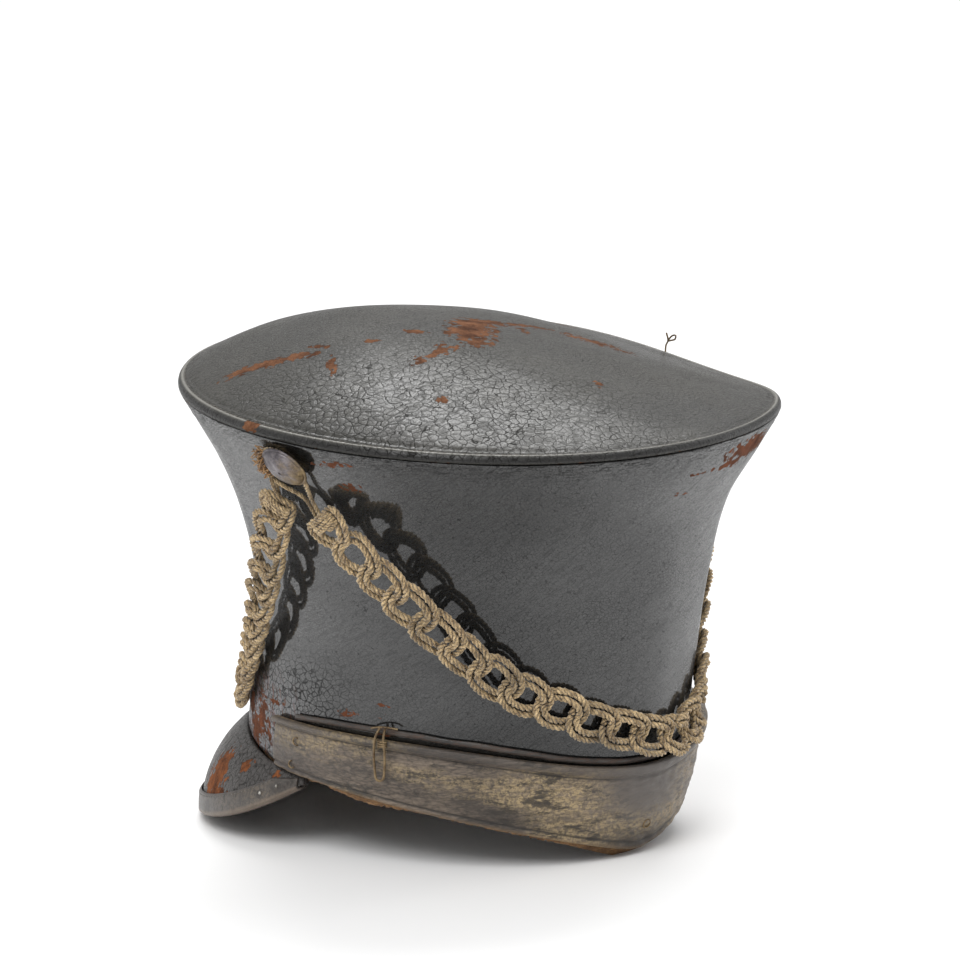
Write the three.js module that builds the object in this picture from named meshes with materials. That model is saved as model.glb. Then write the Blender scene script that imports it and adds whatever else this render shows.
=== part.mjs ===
// Bell crown cap of patent leather, standing on its own: it rests on the low back edge of its
// headband and on the edge of its peak. Millimetres, +Z up. The front of the cap faces -Y and the
// wearer's left side is +X. Angles go round the cap from its back, positive towards the wearer's left.
import * as THREE from "three";
import { mergeVertices } from "three/addons/utils/BufferGeometryUtils.js";

// Crown: the flared oval wall and its rim.
const rimLength = 253.2;
const rimWidth = 254.6;
const rimHeight = 190.6;
const rimFall = 23.6;
const rimShift = 12.8;
const rimSag = 5.3;
const rimSagAngle = -76;
const rimSagSpread = 32;
const waistLength = 200.2;
const waistWidth = 160.8;
const crownWall = 3;
const pieceGap = 0.35;

// Lower edge of the crown: level at the sides, low in the neck, arched over the brow.
const sideEdge = 33.5;
const neckDip = 31;
const neckSharpness = 8;
const browRise = 12.5;

// Domed top.
const topThickness = 2.4;
const domeRise = 25;
const domePower = 2.6;
const domeLeanLeft = 0.3;
const domeLeanFront = 0.25;

// Folded neck band with its rolled hem, and the narrow strap above it.
const bandThickness = 1.7;
const bandEndAngle = 111.5;
const bandTop = 58;
const bandTopDip = 16.5;
const bandTopSharpness = 5.5;
const bandFullness = 0.9;
const hemRoll = 3.2;
const hemFullness = 0.6;
const strapTop = 63;
const strapTopDip = 18.4;
const strapEndAngle = 103;
const strapEndDrop = 1.6;
const strapHeight = 2.6;
const strapThickness = 1.5;

// Sweatband inside the crown, showing below its edge.
const sweatbandThickness = 1.5;
const sweatbandHeight = 36;
const sweatbandShow = 4.5;
const sweatbandNeckShow = 3.9;

// Peak and the binding folded over its edge.
const peakHalfAngle = 80;
const peakReach = 25.5;
const peakReachPower = 0.65;
const peakThickness = 2.4;
const peakCornerHeight = 30;
const peakCurl = 0.8;
const bindingThickness = 1;
const bindingWidth = 8.4;
const bindingGap = 0.6;
const bindingCornerShare = 0.7;

// Festoon plaits: a chain of cord loops, one behind and one in front.
const plaitWidth = 18;
const plaitWaistWidth = 14;
const plaitThickness = 6;
const plaitPitch = 16.2;
const plaitHoleWidth = 6;
const plaitHoleShare = 0.42;
const plaitClearance = 0.9;
const plaitHang = 8;
const plaitHangLow = 75;
const plaitHangBelowRim = 20.6;
const hemEase = 9;
const rearPlaitLow = 50.5;
const rearPlaitBelowRim = 34.1;
const rearPlaitEndAngle = 83;
const frontPlaitLow = 57;
const frontPlaitBelowRim = 28.6;
const frontPlaitEndAngle = 87;

// Heights of the plaits' ends, and of the height at which they lie against the flare again.
const rearPlaitTop = rimHeight - rearPlaitBelowRim;
const frontPlaitTop = rimHeight - frontPlaitBelowRim;
const plaitHangHigh = rimHeight - plaitHangBelowRim;

// Side button, its shank, and the thin cords that hang the plaits.
const buttonDiameter = 21.5;
const buttonDome = 3.4;
const buttonEdge = 1;
const buttonStandOff = 2.9;
const buttonAngle = 87.5;
const buttonBelowRim = 9.4;
const shankDiameter = 3;
const hangerDiameter = 2;
const hangerDrop = 3.6;
const shankWire = 1.2;
const shankWireRise = 10;

// Front plate, a plain curved shield.
const plateWidth = 118;
const plateHeight = 70;
const plateTop = 152;
const plateThickness = 1;
const plateStandOff = 1.2;

// Wire hooks that held the neck flap up.
const hookWire = 1.1;
const hookLength = 20;
const hookWidth = 4.2;
const hookAngle = 74.5;

// Mesh fineness.
const crownSteps = 56;
const bandSteps = 38;
const peakSteps = 30;
const wireSides = 5;

// Height share, flare share of the rim's overhang, and lean share of the rim's backward shift.
const crownSections = [
  { share: 0, flare: -0.046, lean: -0.7 },
  { share: 0.2, flare: 0.036, lean: -0.09 },
  { share: 0.4, flare: 0.055, lean: 0.35 },
  { share: 0.6, flare: 0.195, lean: 0.52 },
  { share: 0.8, flare: 0.48, lean: 0.56 },
  { share: 0.92, flare: 0.79, lean: 0.85 },
  { share: 1, flare: 1, lean: 1 },
];

// How a festoon rises from its lowest point, at angle share 0, to its end, at 1.
const rearFestoon = [
  { share: 0, rise: 0 },
  { share: 0.2, rise: 0.06 },
  { share: 0.4, rise: 0.165 },
  { share: 0.6, rise: 0.315 },
  { share: 0.75, rise: 0.53 },
  { share: 0.88, rise: 0.765 },
  { share: 1, rise: 1 },
];
const frontFestoon = [
  { share: 0, rise: 0 },
  { share: 0.3, rise: 0.012 },
  { share: 0.5, rise: 0.06 },
  { share: 0.62, rise: 0.235 },
  { share: 0.79, rise: 0.51 },
  { share: 0.9, rise: 0.76 },
  { share: 1, rise: 1 },
];

// Half width of the front plate at each share of its height, from its top edge down.
const plateOutline = [
  { share: 0, width: 1 },
  { share: 0.25, width: 0.96 },
  { share: 0.5, width: 0.82 },
  { share: 0.75, width: 0.55 },
  { share: 0.92, width: 0.26 },
  { share: 1, width: 0.08 },
];

const radians = (degrees) => (degrees * Math.PI) / 180;
const lerp = THREE.MathUtils.lerp;
const clamp = THREE.MathUtils.clamp;
const span = (from, to, steps) => Array.from({ length: steps + 1 }, (_, i) => lerp(from, to, i / steps));

// Smooth curve through one column of a table, by cubic pieces.
function follow(table, column, share) {
  const slopes = table.map((row, i) => {
    const before = table[Math.max(i - 1, 0)];
    const after = table[Math.min(i + 1, table.length - 1)];
    const left = i > 0 ? (row[column] - before[column]) / (row.share - before.share) : null;
    const right = i < table.length - 1 ? (after[column] - row[column]) / (after.share - row.share) : null;
    if (left === null) return right;
    return right === null ? left : (left + right) / 2;
  });
  const last = table.length - 1;
  if (share <= 0) return table[0][column] + slopes[0] * share;
  if (share >= 1) return table[last][column] + slopes[last] * (share - 1);
  const i = table.findLastIndex((row) => row.share <= share);
  const length = table[i + 1].share - table[i].share;
  const t = (share - table[i].share) / length;
  const blend = t * t * (3 - 2 * t);
  const start = t * (1 - t) * (1 - t) * length * slopes[i];
  const end = t * t * (t - 1) * length * slopes[i + 1];
  return lerp(table[i][column], table[i + 1][column], blend) + start + end;
}

// Angle in degrees from the front of the cap, always positive.
const fromFront = (angle) => 180 - Math.abs(((angle + 540) % 360) - 180);

// How strongly a place belongs to the neck, 1 at the back and 0 at the front.
const neckShare = (angle, sharpness) => ((1 + Math.cos(radians(angle))) / 2) ** sharpness;

// Arch over the brow, 1 at the front and 0 past the peak's corners.
const browShare = (angle) => Math.max(0, 1 - (fromFront(angle) / peakHalfAngle) ** 2) ** 1.5;

function crownEdge(angle) {
  return sideEdge - neckDip * neckShare(angle, neckSharpness) + browRise * browShare(angle);
}

function rimEdge(angle) {
  const away = ((angle - rimSagAngle + 540) % 360) - 180;
  const sag = rimSag * Math.exp(-((away / rimSagSpread) ** 2));
  return rimHeight - (rimFall / 2) * Math.cos(radians(angle)) - sag;
}

// Point of the crown's outer surface at an angle and a height, moved outwards by an offset.
function crownPoint(angle, height, offset = 0) {
  const edge = crownEdge(angle);
  const share = (height - edge) / (rimEdge(angle) - edge);
  const flare = follow(crownSections, "flare", share);
  const lean = follow(crownSections, "lean", share);
  const halfLength = lerp(waistLength, rimLength, flare) / 2 + offset;
  const halfWidth = lerp(waistWidth, rimWidth, flare) / 2 + offset;
  const x = halfWidth * Math.sin(radians(angle));
  const y = rimShift * lean + halfLength * Math.cos(radians(angle));
  return new THREE.Vector3(x, y, height);
}

// Outward direction of the crown's surface.
function crownNormal(angle, height) {
  const small = 0.05;
  const round = crownPoint(angle + small, height).sub(crownPoint(angle - small, height));
  const rise = crownPoint(angle, height + small).sub(crownPoint(angle, height - small));
  return rise.cross(round).normalize();
}

// A closed mesh from a list of triangles, each three points, with its faces turned outwards.
function solid(triangles) {
  const kept = triangles.filter(([a, b, c]) => a.distanceTo(b) > 1e-4 && b.distanceTo(c) > 1e-4 && c.distanceTo(a) > 1e-4);
  const volume = kept.reduce((sum, [a, b, c]) => sum + a.dot(new THREE.Vector3().crossVectors(b, c)), 0);
  const points = kept.flatMap(([a, b, c]) => (volume > 0 ? [a, b, c] : [a, c, b]));
  const geometry = new THREE.BufferGeometry().setFromPoints(points);
  return mergeVertices(geometry, 1e-4);
}

const quad = (a, b, c, d) => [
  [a, b, c],
  [a, c, d],
];

// A wall between an outer and an inner grid of points. Each grid is a list of columns round the
// cap, each a list of points from one edge to the other.
function wall(outer, inner, closed) {
  const triangles = [];
  const columns = outer.length;
  const rows = outer[0].length;
  const pairs = closed ? columns : columns - 1;
  for (let i = 0; i < pairs; i += 1) {
    const next = (i + 1) % columns;
    for (let k = 0; k < rows - 1; k += 1) {
      triangles.push(...quad(outer[i][k], outer[next][k], outer[next][k + 1], outer[i][k + 1]));
      triangles.push(...quad(inner[i][k], inner[i][k + 1], inner[next][k + 1], inner[next][k]));
    }
    const top = rows - 1;
    triangles.push(...quad(outer[i][0], inner[i][0], inner[next][0], outer[next][0]));
    triangles.push(...quad(outer[i][top], outer[next][top], inner[next][top], inner[i][top]));
  }
  if (!closed) {
    const end = columns - 1;
    for (let k = 0; k < rows - 1; k += 1) {
      triangles.push(...quad(outer[0][k], outer[0][k + 1], inner[0][k + 1], inner[0][k]));
      triangles.push(...quad(outer[end][k], inner[end][k], inner[end][k + 1], outer[end][k + 1]));
    }
  }
  return solid(triangles);
}

// A round wire or cord along a smooth path of chosen points.
function strand(points, diameter, steps, sides = wireSides) {
  const path = new THREE.CatmullRomCurve3(points, false, "centripetal");
  const section = new THREE.Shape(
    span(0, 2 * Math.PI, sides)
      .slice(0, sides)
      .map((turn) => new THREE.Vector2(Math.cos(turn), Math.sin(turn)).multiplyScalar(diameter / 2)),
  );
  const geometry = new THREE.ExtrudeGeometry(section, { steps, extrudePath: path, bevelEnabled: false });
  geometry.deleteAttribute("normal");
  geometry.deleteAttribute("uv");
  return mergeVertices(geometry, 1e-4);
}

function crownBody() {
  const shares = [0, 0.12, 0.24, 0.36, 0.48, 0.58, 0.68, 0.77, 0.85, 0.93, 1];
  const angles = span(0, 360, crownSteps).slice(0, crownSteps);
  const grid = (offset) =>
    angles.map((angle) => shares.map((share) => crownPoint(angle, lerp(crownEdge(angle), rimEdge(angle), share), offset)));
  return wall(grid(0), grid(-crownWall), true);
}

// Point of the domed top at an angle and a share of the way out from its centre.
function topPoint(angle, reach, lift) {
  const edge = crownPoint(angle, rimEdge(angle));
  const centre = new THREE.Vector3(0, rimShift, rimHeight);
  const point = centre.clone().lerp(edge, reach);
  const lean = 1 + domeLeanLeft * (point.x / (rimWidth / 2)) - domeLeanFront * ((point.y - rimShift) / (rimLength / 2));
  const flat = lerp(rimHeight - (rimFall / rimLength) * (point.y - rimShift), point.z, reach ** 2);
  point.z = flat + domeRise * (1 - reach ** domePower) * lean + lift;
  return point;
}

function crownTop() {
  const reaches = [1, 0.93, 0.81, 0.64, 0.38, 0];
  const angles = span(0, 360, crownSteps).slice(0, crownSteps);
  const grid = (lift) => angles.map((angle) => reaches.map((reach) => topPoint(angle, reach, lift)));
  return wall(grid(pieceGap + topThickness), grid(pieceGap), true);
}

const bandTopEdge = (angle) => bandTop - bandTopDip * neckShare(angle, bandTopSharpness);

function neckBand() {
  const inner = pieceGap;
  const rows = [
    { share: 0, outer: bandThickness },
    { share: 0.4, outer: bandThickness + bandFullness },
    { share: 0.8, outer: bandThickness },
    { share: 0.84, outer: hemRoll },
    { share: 0.93, outer: hemRoll + hemFullness },
    { share: 1, outer: hemRoll },
  ];
  const angles = span(-bandEndAngle, bandEndAngle, bandSteps);
  const at = (angle, share, offset) => crownPoint(angle, lerp(crownEdge(angle), bandTopEdge(angle), share), offset);
  return wall(
    angles.map((angle) => rows.map((row) => at(angle, row.share, inner + row.outer))),
    angles.map((angle) => rows.map((row) => at(angle, row.share, inner))),
    false,
  );
}

function strapTopEdge(angle) {
  const towardsEnd = (Math.abs(angle) / strapEndAngle) ** neckSharpness;
  return strapTop - strapTopDip * neckShare(angle, bandTopSharpness) - strapEndDrop * towardsEnd;
}

function baseStrap() {
  const shares = [0, 0.5, 1];
  const bulge = [0.6, 1, 0.6];
  const angles = span(-strapEndAngle, strapEndAngle, bandSteps);
  const at = (angle, share, offset) =>
    crownPoint(angle, lerp(strapTopEdge(angle) - strapHeight, strapTopEdge(angle), share), offset);
  return wall(
    angles.map((angle) => shares.map((share, k) => at(angle, share, pieceGap + strapThickness * bulge[k]))),
    angles.map((angle) => shares.map((share) => at(angle, share, pieceGap))),
    false,
  );
}

// Lower edge of the sweatband. It lies flat on the ground at the back.
function sweatbandEdge(angle) {
  const show = lerp(sweatbandShow, sweatbandNeckShow, neckShare(angle, neckSharpness));
  return Math.max(0, crownEdge(angle) - show);
}

function sweatband() {
  const shares = [0, 0.5, 1];
  const outer = -crownWall - pieceGap;
  const angles = span(0, 360, crownSteps).slice(0, crownSteps);
  const at = (angle, share, offset) => {
    const top = crownEdge(angle) + sweatbandHeight;
    return crownPoint(angle, lerp(sweatbandEdge(angle), top, share), offset);
  };
  return wall(
    angles.map((angle) => shares.map((share) => at(angle, share, outer))),
    angles.map((angle) => shares.map((share) => at(angle, share, outer - sweatbandThickness))),
    true,
  );
}

// The peak's section at an angle from the front, in two dimensions: reach out and height.
function peakSection(front) {
  const share = Math.min(Math.abs(front) / peakHalfAngle, 1);
  const angle = 180 - front;
  const top = crownEdge(angle) - pieceGap;
  const tip = bindingThickness + bindingGap;
  const low = lerp(tip, peakCornerHeight - pieceGap, share ** 3);
  const reach = peakReach * Math.max(0, 1 - share ** 2) ** peakReachPower;
  const at = (q) => new THREE.Vector2(reach * Math.sin((Math.PI / 2) * q ** peakCurl), lerp(top, low, q));
  const out = (q) => {
    const small = 0.01;
    const along = at(Math.min(q + small, 1)).sub(at(Math.max(q - small, 0)));
    return new THREE.Vector2(-along.y, along.x).normalize();
  };
  const depth = top - low;
  return { angle, top, at, out, depth };
}

// A point of the peak at a place on its section, moved off the leather by an offset.
function peakPoint(front, q, offset, beyond = 0) {
  const section = peakSection(front);
  const flat = section.at(q);
  const off = section.out(q).multiplyScalar(offset);
  const root = crownPoint(section.angle, section.top);
  const outward = new THREE.Vector3(
    Math.sin(radians(section.angle)) / waistWidth,
    Math.cos(radians(section.angle)) / waistLength,
    0,
  ).normalize();
  const point = root.addScaledVector(outward, flat.x + off.x);
  point.z = flat.y + off.y - beyond;
  return point;
}

// Stations round the peak, closer together towards its corners.
const peakStations = span(-1, 1, peakSteps).map((side) => peakHalfAngle * Math.sin((Math.PI / 2) * side));

function peak() {
  const places = [0, 0.12, 0.26, 0.42, 0.6, 0.8, 1];
  const fronts = peakStations;
  const grid = (offset) => fronts.map((front) => places.map((q) => peakPoint(front, q, offset)));
  return wall(grid(0), grid(-peakThickness), false);
}

function peakBinding() {
  const near = bindingGap;
  const far = bindingGap + bindingThickness;
  const fronts = peakStations.slice(2, -2);
  const leafStart = (front) => 1 - Math.min(bindingWidth / peakSection(front).depth, bindingCornerShare);
  const column = (front, thick) => {
    const start = leafStart(front);
    const outside = [start, (1 + start) / 2, 1].map((q) => peakPoint(front, q, thick));
    const around = [peakPoint(front, 1, thick, thick), peakPoint(front, 1, -peakThickness - thick, thick)];
    const inside = [1, (1 + start) / 2, start].map((q) => peakPoint(front, q, -peakThickness - thick));
    return [...outside, ...around, ...inside];
  };
  return wall(
    fronts.map((front) => column(front, far)),
    fronts.map((front) => column(front, near)),
    false,
  );
}

// A point of a festoon's middle line, as angle and height, at a share from one end to the other.
function festoon(table, low, top, endAngle, centre, share) {
  const side = 2 * share - 1;
  const height = low + (top - low) * follow(table, "rise", Math.abs(side));
  return { angle: centre + side * endAngle, height };
}

// How far a plait stands off the crown: it hangs free of the flare and lies over the band's hem.
function plaitOffset(angle, height) {
  const hanging = clamp((height - plaitHangLow) / (plaitHangHigh - plaitHangLow), 0, 1);
  const overHem = hemRoll + hemFullness + 2 * pieceGap - plaitClearance;
  const nearHem = 1 - THREE.MathUtils.smoothstep(height, strapTop - strapTopDip, strapTop - strapTopDip + hemEase);
  const resting = Math.abs(angle) < bandEndAngle ? overHem * nearHem : 0;
  return plaitClearance + plaitHang * Math.sin(Math.PI * hanging) + resting;
}

// A pierced band that follows the crown: one narrow place and one hole for each cord loop.
function plait(table, low, top, endAngle, centre) {
  const fine = span(0, 1, 240).map((share) => festoon(table, low, top, endAngle, centre, share));
  const places = fine.map(({ angle, height }) => crownPoint(angle, height, plaitOffset(angle, height)));
  const lengths = places.map(() => 0);
  places.forEach((place, i) => {
    if (i > 0) lengths[i] = lengths[i - 1] + place.distanceTo(places[i - 1]);
  });
  const total = lengths[lengths.length - 1];
  const links = Math.round(total / plaitPitch);
  const stations = [];
  const holeFrom = (1 - plaitHoleShare) / 2;
  for (let link = 0; link < links; link += 1) {
    [0, holeFrom, 1 - holeFrom].forEach((share, k) => stations.push({ at: (link + share) / links, hole: k === 1, wide: k > 0 }));
  }
  stations.push({ at: 1, hole: false, wide: false });

  const atLength = (share) => {
    const wanted = share * total;
    const i = clamp(lengths.findIndex((length) => length >= wanted), 1, lengths.length - 1);
    const t = (wanted - lengths[i - 1]) / (lengths[i] - lengths[i - 1]);
    const angle = lerp(fine[i - 1].angle, fine[i].angle, t);
    const height = lerp(fine[i - 1].height, fine[i].height, t);
    const rise = fine[i].height - fine[i - 1].height;
    const run = places[i].distanceTo(places[i - 1]);
    return { angle, height, slope: clamp(rise / run, -1, 1) };
  };
  const radius = (waistWidth + waistLength) / 4;
  const lane = (station, across, lift) => {
    const { angle, height, slope } = atLength(station.at);
    const level = Math.sqrt(1 - slope * slope);
    const turned = angle - (across * slope * 180) / (Math.PI * radius);
    const raised = height + across * level;
    return crownPoint(turned, raised, plaitOffset(turned, Math.min(raised, height)) + lift);
  };
  const lanes = (station) => {
    const half = (station.wide ? plaitWidth : plaitWaistWidth) / 2;
    return [-half, -plaitHoleWidth / 2, plaitHoleWidth / 2, half];
  };
  const triangles = [];
  const grid = (lift) => stations.map((station) => lanes(station).map((across) => lane(station, across, lift)));
  const front = grid(plaitThickness);
  const back = grid(0);
  for (let i = 0; i < stations.length - 1; i += 1) {
    const holed = stations[i].hole;
    for (let k = 0; k < 3; k += 1) {
      if (holed && k === 1) {
        [
          [i, 1, i, 2],
          [i, 2, i + 1, 2],
          [i + 1, 2, i + 1, 1],
          [i + 1, 1, i, 1],
        ].forEach(([a, b, c, d]) => triangles.push(...quad(front[a][b], back[a][b], back[c][d], front[c][d])));
      } else {
        triangles.push(...quad(front[i][k], front[i + 1][k], front[i + 1][k + 1], front[i][k + 1]));
        triangles.push(...quad(back[i][k], back[i][k + 1], back[i + 1][k + 1], back[i + 1][k]));
      }
    }
    triangles.push(...quad(front[i][0], back[i][0], back[i + 1][0], front[i + 1][0]));
    triangles.push(...quad(front[i][3], front[i + 1][3], back[i + 1][3], back[i][3]));
  }
  const end = stations.length - 1;
  for (let k = 0; k < 3; k += 1) {
    triangles.push(...quad(front[0][k], front[0][k + 1], back[0][k + 1], back[0][k]));
    triangles.push(...quad(front[end][k], back[end][k], back[end][k + 1], front[end][k + 1]));
  }
  return solid(triangles);
}

const rearPlait = () => plait(rearFestoon, rearPlaitLow, rearPlaitTop, rearPlaitEndAngle, 0);
const frontPlait = () => plait(frontFestoon, frontPlaitLow, frontPlaitTop, frontPlaitEndAngle, 180);

// Where the button's shank meets the crown, and the direction it points in.
function buttonSeat(angle) {
  const height = rimEdge(angle) - buttonBelowRim;
  return { place: crownPoint(angle, height), out: crownNormal(angle, height) };
}

function sideButton() {
  const radius = buttonDiameter / 2;
  const face = span(0, 1, 4).map((share) => {
    const turn = (Math.PI / 2) * share;
    return new THREE.Vector2(radius * Math.sin(turn), buttonStandOff + buttonEdge + buttonDome * Math.cos(turn));
  });
  const profile = [
    new THREE.Vector2(0, pieceGap),
    new THREE.Vector2(shankDiameter / 2, pieceGap),
    new THREE.Vector2(shankDiameter / 2, buttonStandOff),
    new THREE.Vector2(radius, buttonStandOff),
    ...face.reverse(),
  ];
  return new THREE.LatheGeometry(profile, 18);
}

// A place beside the button's seat: across towards the back, up the slope, and out.
function besideSeat(side, across, up, out) {
  const { place, out: normal } = buttonSeat(side * buttonAngle);
  const back = new THREE.Vector3(0, 1, 0);
  const slope = new THREE.Vector3().crossVectors(back, normal).multiplyScalar(-side).normalize();
  return place.addScaledVector(back, across).addScaledVector(slope, up).addScaledVector(normal, out);
}

// The thin cord that runs round the button and down to the end of the rear plait.
function hangerCord(side) {
  const radius = buttonDiameter / 2 + hangerDiameter / 2 + pieceGap;
  const under = buttonStandOff / 2;
  const round = (turn, reach, out) => besideSeat(side, reach * Math.sin(radians(turn)), reach * Math.cos(radians(turn)), out);
  const end = (across) => {
    const height = rearPlaitTop + 1.6 * hangerDiameter + pieceGap;
    const angle = side * rearPlaitEndAngle + (side * across * 180) / (Math.PI * (waistWidth / 2));
    return crownPoint(angle, height, plaitOffset(angle, height) + plaitThickness / 2);
  };
  return [
    end(2),
    round(150, radius + 7, hangerDiameter + 2),
    round(182, radius + hangerDrop, hangerDiameter + 1),
    round(220, radius + hangerDrop / 2, hangerDiameter + 0.3),
    round(255, radius, hangerDiameter * 0.9),
    round(290, radius * 0.75, under),
    round(340, shankDiameter / 2 + hangerDiameter, under),
    round(40, shankDiameter / 2 + hangerDiameter, under),
    round(85, radius * 0.75, under),
    round(112, radius, hangerDiameter * 0.9),
    round(135, radius + 5, hangerDiameter + 1),
    end(-2),
  ];
}

// The small loop that hangs the front plait on the hanger cord.
function frontLoop(side) {
  const hang = besideSeat(side, 0, -(buttonDiameter / 2 + hangerDiameter / 2 + pieceGap + hangerDrop), hangerDiameter + 1);
  const round = hangerDiameter + pieceGap;
  const height = frontPlaitTop + hangerDiameter + pieceGap;
  const foot = (offset) =>
    crownPoint(180 - side * frontPlaitEndAngle, height, plaitOffset(180, height) + plaitThickness / 2 + offset);
  const near = (out, up) => hang.clone().add(new THREE.Vector3(side * out, -1.2, up));
  return [foot(round), near(round, -1.2), near(round * 0.7, round * 0.8), near(-round * 0.2, round * 1.05), near(-round, 0), foot(-round)];
}

// The bare wire left in the right side, standing up past the rim.
function bareWire() {
  const side = -1;
  const clear = shankWire / 2 + 1;
  const angle = side * buttonAngle;
  const rim = (across, up, out) => crownPoint(angle, rimEdge(angle), clear + out).add(new THREE.Vector3(0, across, up));
  return [
    besideSeat(side, 0, 0, shankWire / 2 + pieceGap),
    besideSeat(side, 0, 0.5, hangerDiameter + 2.2),
    besideSeat(side, 1, 4, 3.4),
    rim(1.5, -3, 0.6),
    rim(3, 0, 0),
    rim(5.2, shankWireRise * 0.55, -0.6),
    rim(4.4, shankWireRise, -1),
  ];
}

// The front plate: a curved shield with its outline worked out from the table of half widths.
function frontPlate() {
  const columns = span(-1, 1, 10);
  const at = (row, side, lift) => {
    const height = plateTop - plateHeight * row.share;
    const radius = crownPoint(180, height).y * -1 + rimShift;
    const half = (plateWidth / 2) * row.width;
    const angle = 180 + (side * half * 180) / (Math.PI * radius);
    return crownPoint(angle, height, plateStandOff + lift);
  };
  const rows = [0, 0.12, 0.25, 0.4, 0.55, 0.7, 0.82, 0.92, 1].map((share) => ({
    share,
    width: follow(plateOutline, "width", share),
  }));
  const grid = (lift) => columns.map((side) => rows.map((row) => at(row, side, lift)));
  return wall(grid(plateThickness), grid(0), false);
}

// A hook of wire: a narrow loop hanging from a staple on the strap.
function flapHook(side) {
  const angle = side * hookAngle;
  const staple = strapTopEdge(angle) + 1;
  const radius = crownPoint(90, staple).x;
  const off = hemRoll + hemFullness + 2 * pieceGap + hookWire / 2;
  const spread = (across) => angle + (across * 180) / (Math.PI * radius);
  const at = (across, down, offset) => crownPoint(spread(across), staple - down, offset);
  const half = hookWidth / 2;
  const low = staple - strapTopEdge(angle) + strapHeight + hookLength;
  return [
    at(half * 0.7, 0, strapThickness + pieceGap + hookWire),
    at(half, 4, off),
    at(half * 1.1, low * 0.45, off),
    at(half * 0.7, low * 0.8, off),
    at(half * 0.3, low * 0.97, off),
    at(-half * 0.3, low, off),
    at(-half * 0.9, low * 0.95, off),
    at(-half, low * 0.8, off),
    at(-half * 0.8, low * 0.45, off),
    at(-half * 0.4, 5, off),
    at(-half * 0.2, 0, strapThickness + pieceGap + hookWire),
  ];
}

const leather = (color, roughness) => new THREE.MeshStandardMaterial({ color, roughness, metalness: 0 });
const metal = (color, roughness) => new THREE.MeshStandardMaterial({ color, roughness, metalness: 0.8 });
const patentLeather = leather(0x4d4d4b, 0.35);
const wornLeather = leather(0x6b6258, 0.55);
const rawLeather = leather(0xa9763f, 0.8);
const blackLeather = leather(0x2b2826, 0.5);
const cord = leather(0x9a8b67, 0.9);
const buttonMetal = metal(0x7d7268, 0.45);
const blackMetal = metal(0x1c1b1b, 0.5);
const rustyWire = metal(0x6f5a3a, 0.6);

const cap = new THREE.Group();

function add(name, geometry, material) {
  const mesh = new THREE.Mesh(geometry, material);
  mesh.name = name;
  cap.add(mesh);
  return mesh;
}

add("crown_body", crownBody(), patentLeather);
add("crown_top", crownTop(), patentLeather);
add("neck_band", neckBand(), wornLeather);
add("base_strap", baseStrap(), blackLeather);
add("sweatband", sweatband(), rawLeather);
add("peak", peak(), patentLeather);
add("peak_binding", peakBinding(), wornLeather);
add("rear_plait", rearPlait(), cord);
add("front_plait", frontPlait(), cord);
add("front_plate", frontPlate(), blackMetal);

const seat = buttonSeat(buttonAngle);
const button = add("side_button", sideButton(), buttonMetal);
button.position.copy(seat.place);
button.quaternion.setFromUnitVectors(new THREE.Vector3(0, 1, 0), seat.out);

add("bare_wire_right", strand(bareWire(), shankWire, 14), rustyWire);
add("hanger_cord_left", strand(hangerCord(1), hangerDiameter, 30), cord);
add("hanger_cord_right", strand(hangerCord(-1), hangerDiameter, 30), cord);
add("front_loop_left", strand(frontLoop(1), hangerDiameter, 14), cord);
add("front_loop_right", strand(frontLoop(-1), hangerDiameter, 14), cord);
add("flap_hook_left", strand(flapHook(1), hookWire, 18), rustyWire);
add("flap_hook_right", strand(flapHook(-1), hookWire, 18), rustyWire);

// The origin is under the middle of the cap's box, on the ground.
const box = new THREE.Box3().setFromObject(cap, true);
const middle = box.getCenter(new THREE.Vector3());
cap.position.set(-middle.x, -middle.y, -box.min.z);

export default cap;
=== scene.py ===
# Bell crown cap of old, cracked patent leather, standing on its neck edge and its peak.
# Metres, +Z up. The front of the cap faces -Y and the wearer's left side is +X. Angles are in degrees
# round the cap from its back, positive towards the wearer's left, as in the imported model.
import math

import bmesh
import bpy
import numpy as np
from mathutils import Matrix, Vector


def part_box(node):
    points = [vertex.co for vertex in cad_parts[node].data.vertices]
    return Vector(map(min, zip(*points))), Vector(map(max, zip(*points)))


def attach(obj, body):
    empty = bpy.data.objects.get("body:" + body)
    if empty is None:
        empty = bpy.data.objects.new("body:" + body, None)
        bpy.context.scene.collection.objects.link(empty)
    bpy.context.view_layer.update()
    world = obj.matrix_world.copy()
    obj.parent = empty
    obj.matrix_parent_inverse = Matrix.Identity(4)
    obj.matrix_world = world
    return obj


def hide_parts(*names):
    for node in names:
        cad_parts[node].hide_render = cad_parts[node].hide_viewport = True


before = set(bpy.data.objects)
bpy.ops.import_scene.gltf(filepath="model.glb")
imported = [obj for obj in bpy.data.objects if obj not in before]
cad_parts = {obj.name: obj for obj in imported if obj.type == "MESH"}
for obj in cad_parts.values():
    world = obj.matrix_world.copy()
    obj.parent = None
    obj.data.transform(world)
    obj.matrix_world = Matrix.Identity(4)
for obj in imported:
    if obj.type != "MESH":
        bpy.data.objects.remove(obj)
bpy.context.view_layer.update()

# Crown.
RIM_LENGTH = 0.2532
RIM_WIDTH = 0.2546
RIM_HEIGHT = 0.1906
RIM_FALL = 0.0236
RIM_SHIFT = 0.0128
RIM_SAG = 0.0098
RIM_SAG_ANGLE = -77.7
RIM_SAG_SPREAD = 31.6
WAIST_LENGTH = 0.2002
WAIST_WIDTH = 0.1608
CROWN_WALL = 0.003
PIECE_GAP = 0.00035
SIDE_EDGE = 0.0335
NECK_DIP = 0.031
NECK_SHARPNESS = 8
NECK_REACH = 95
NECK_POWER = 1.35
BAND_GAPE = 0.0048
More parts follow.
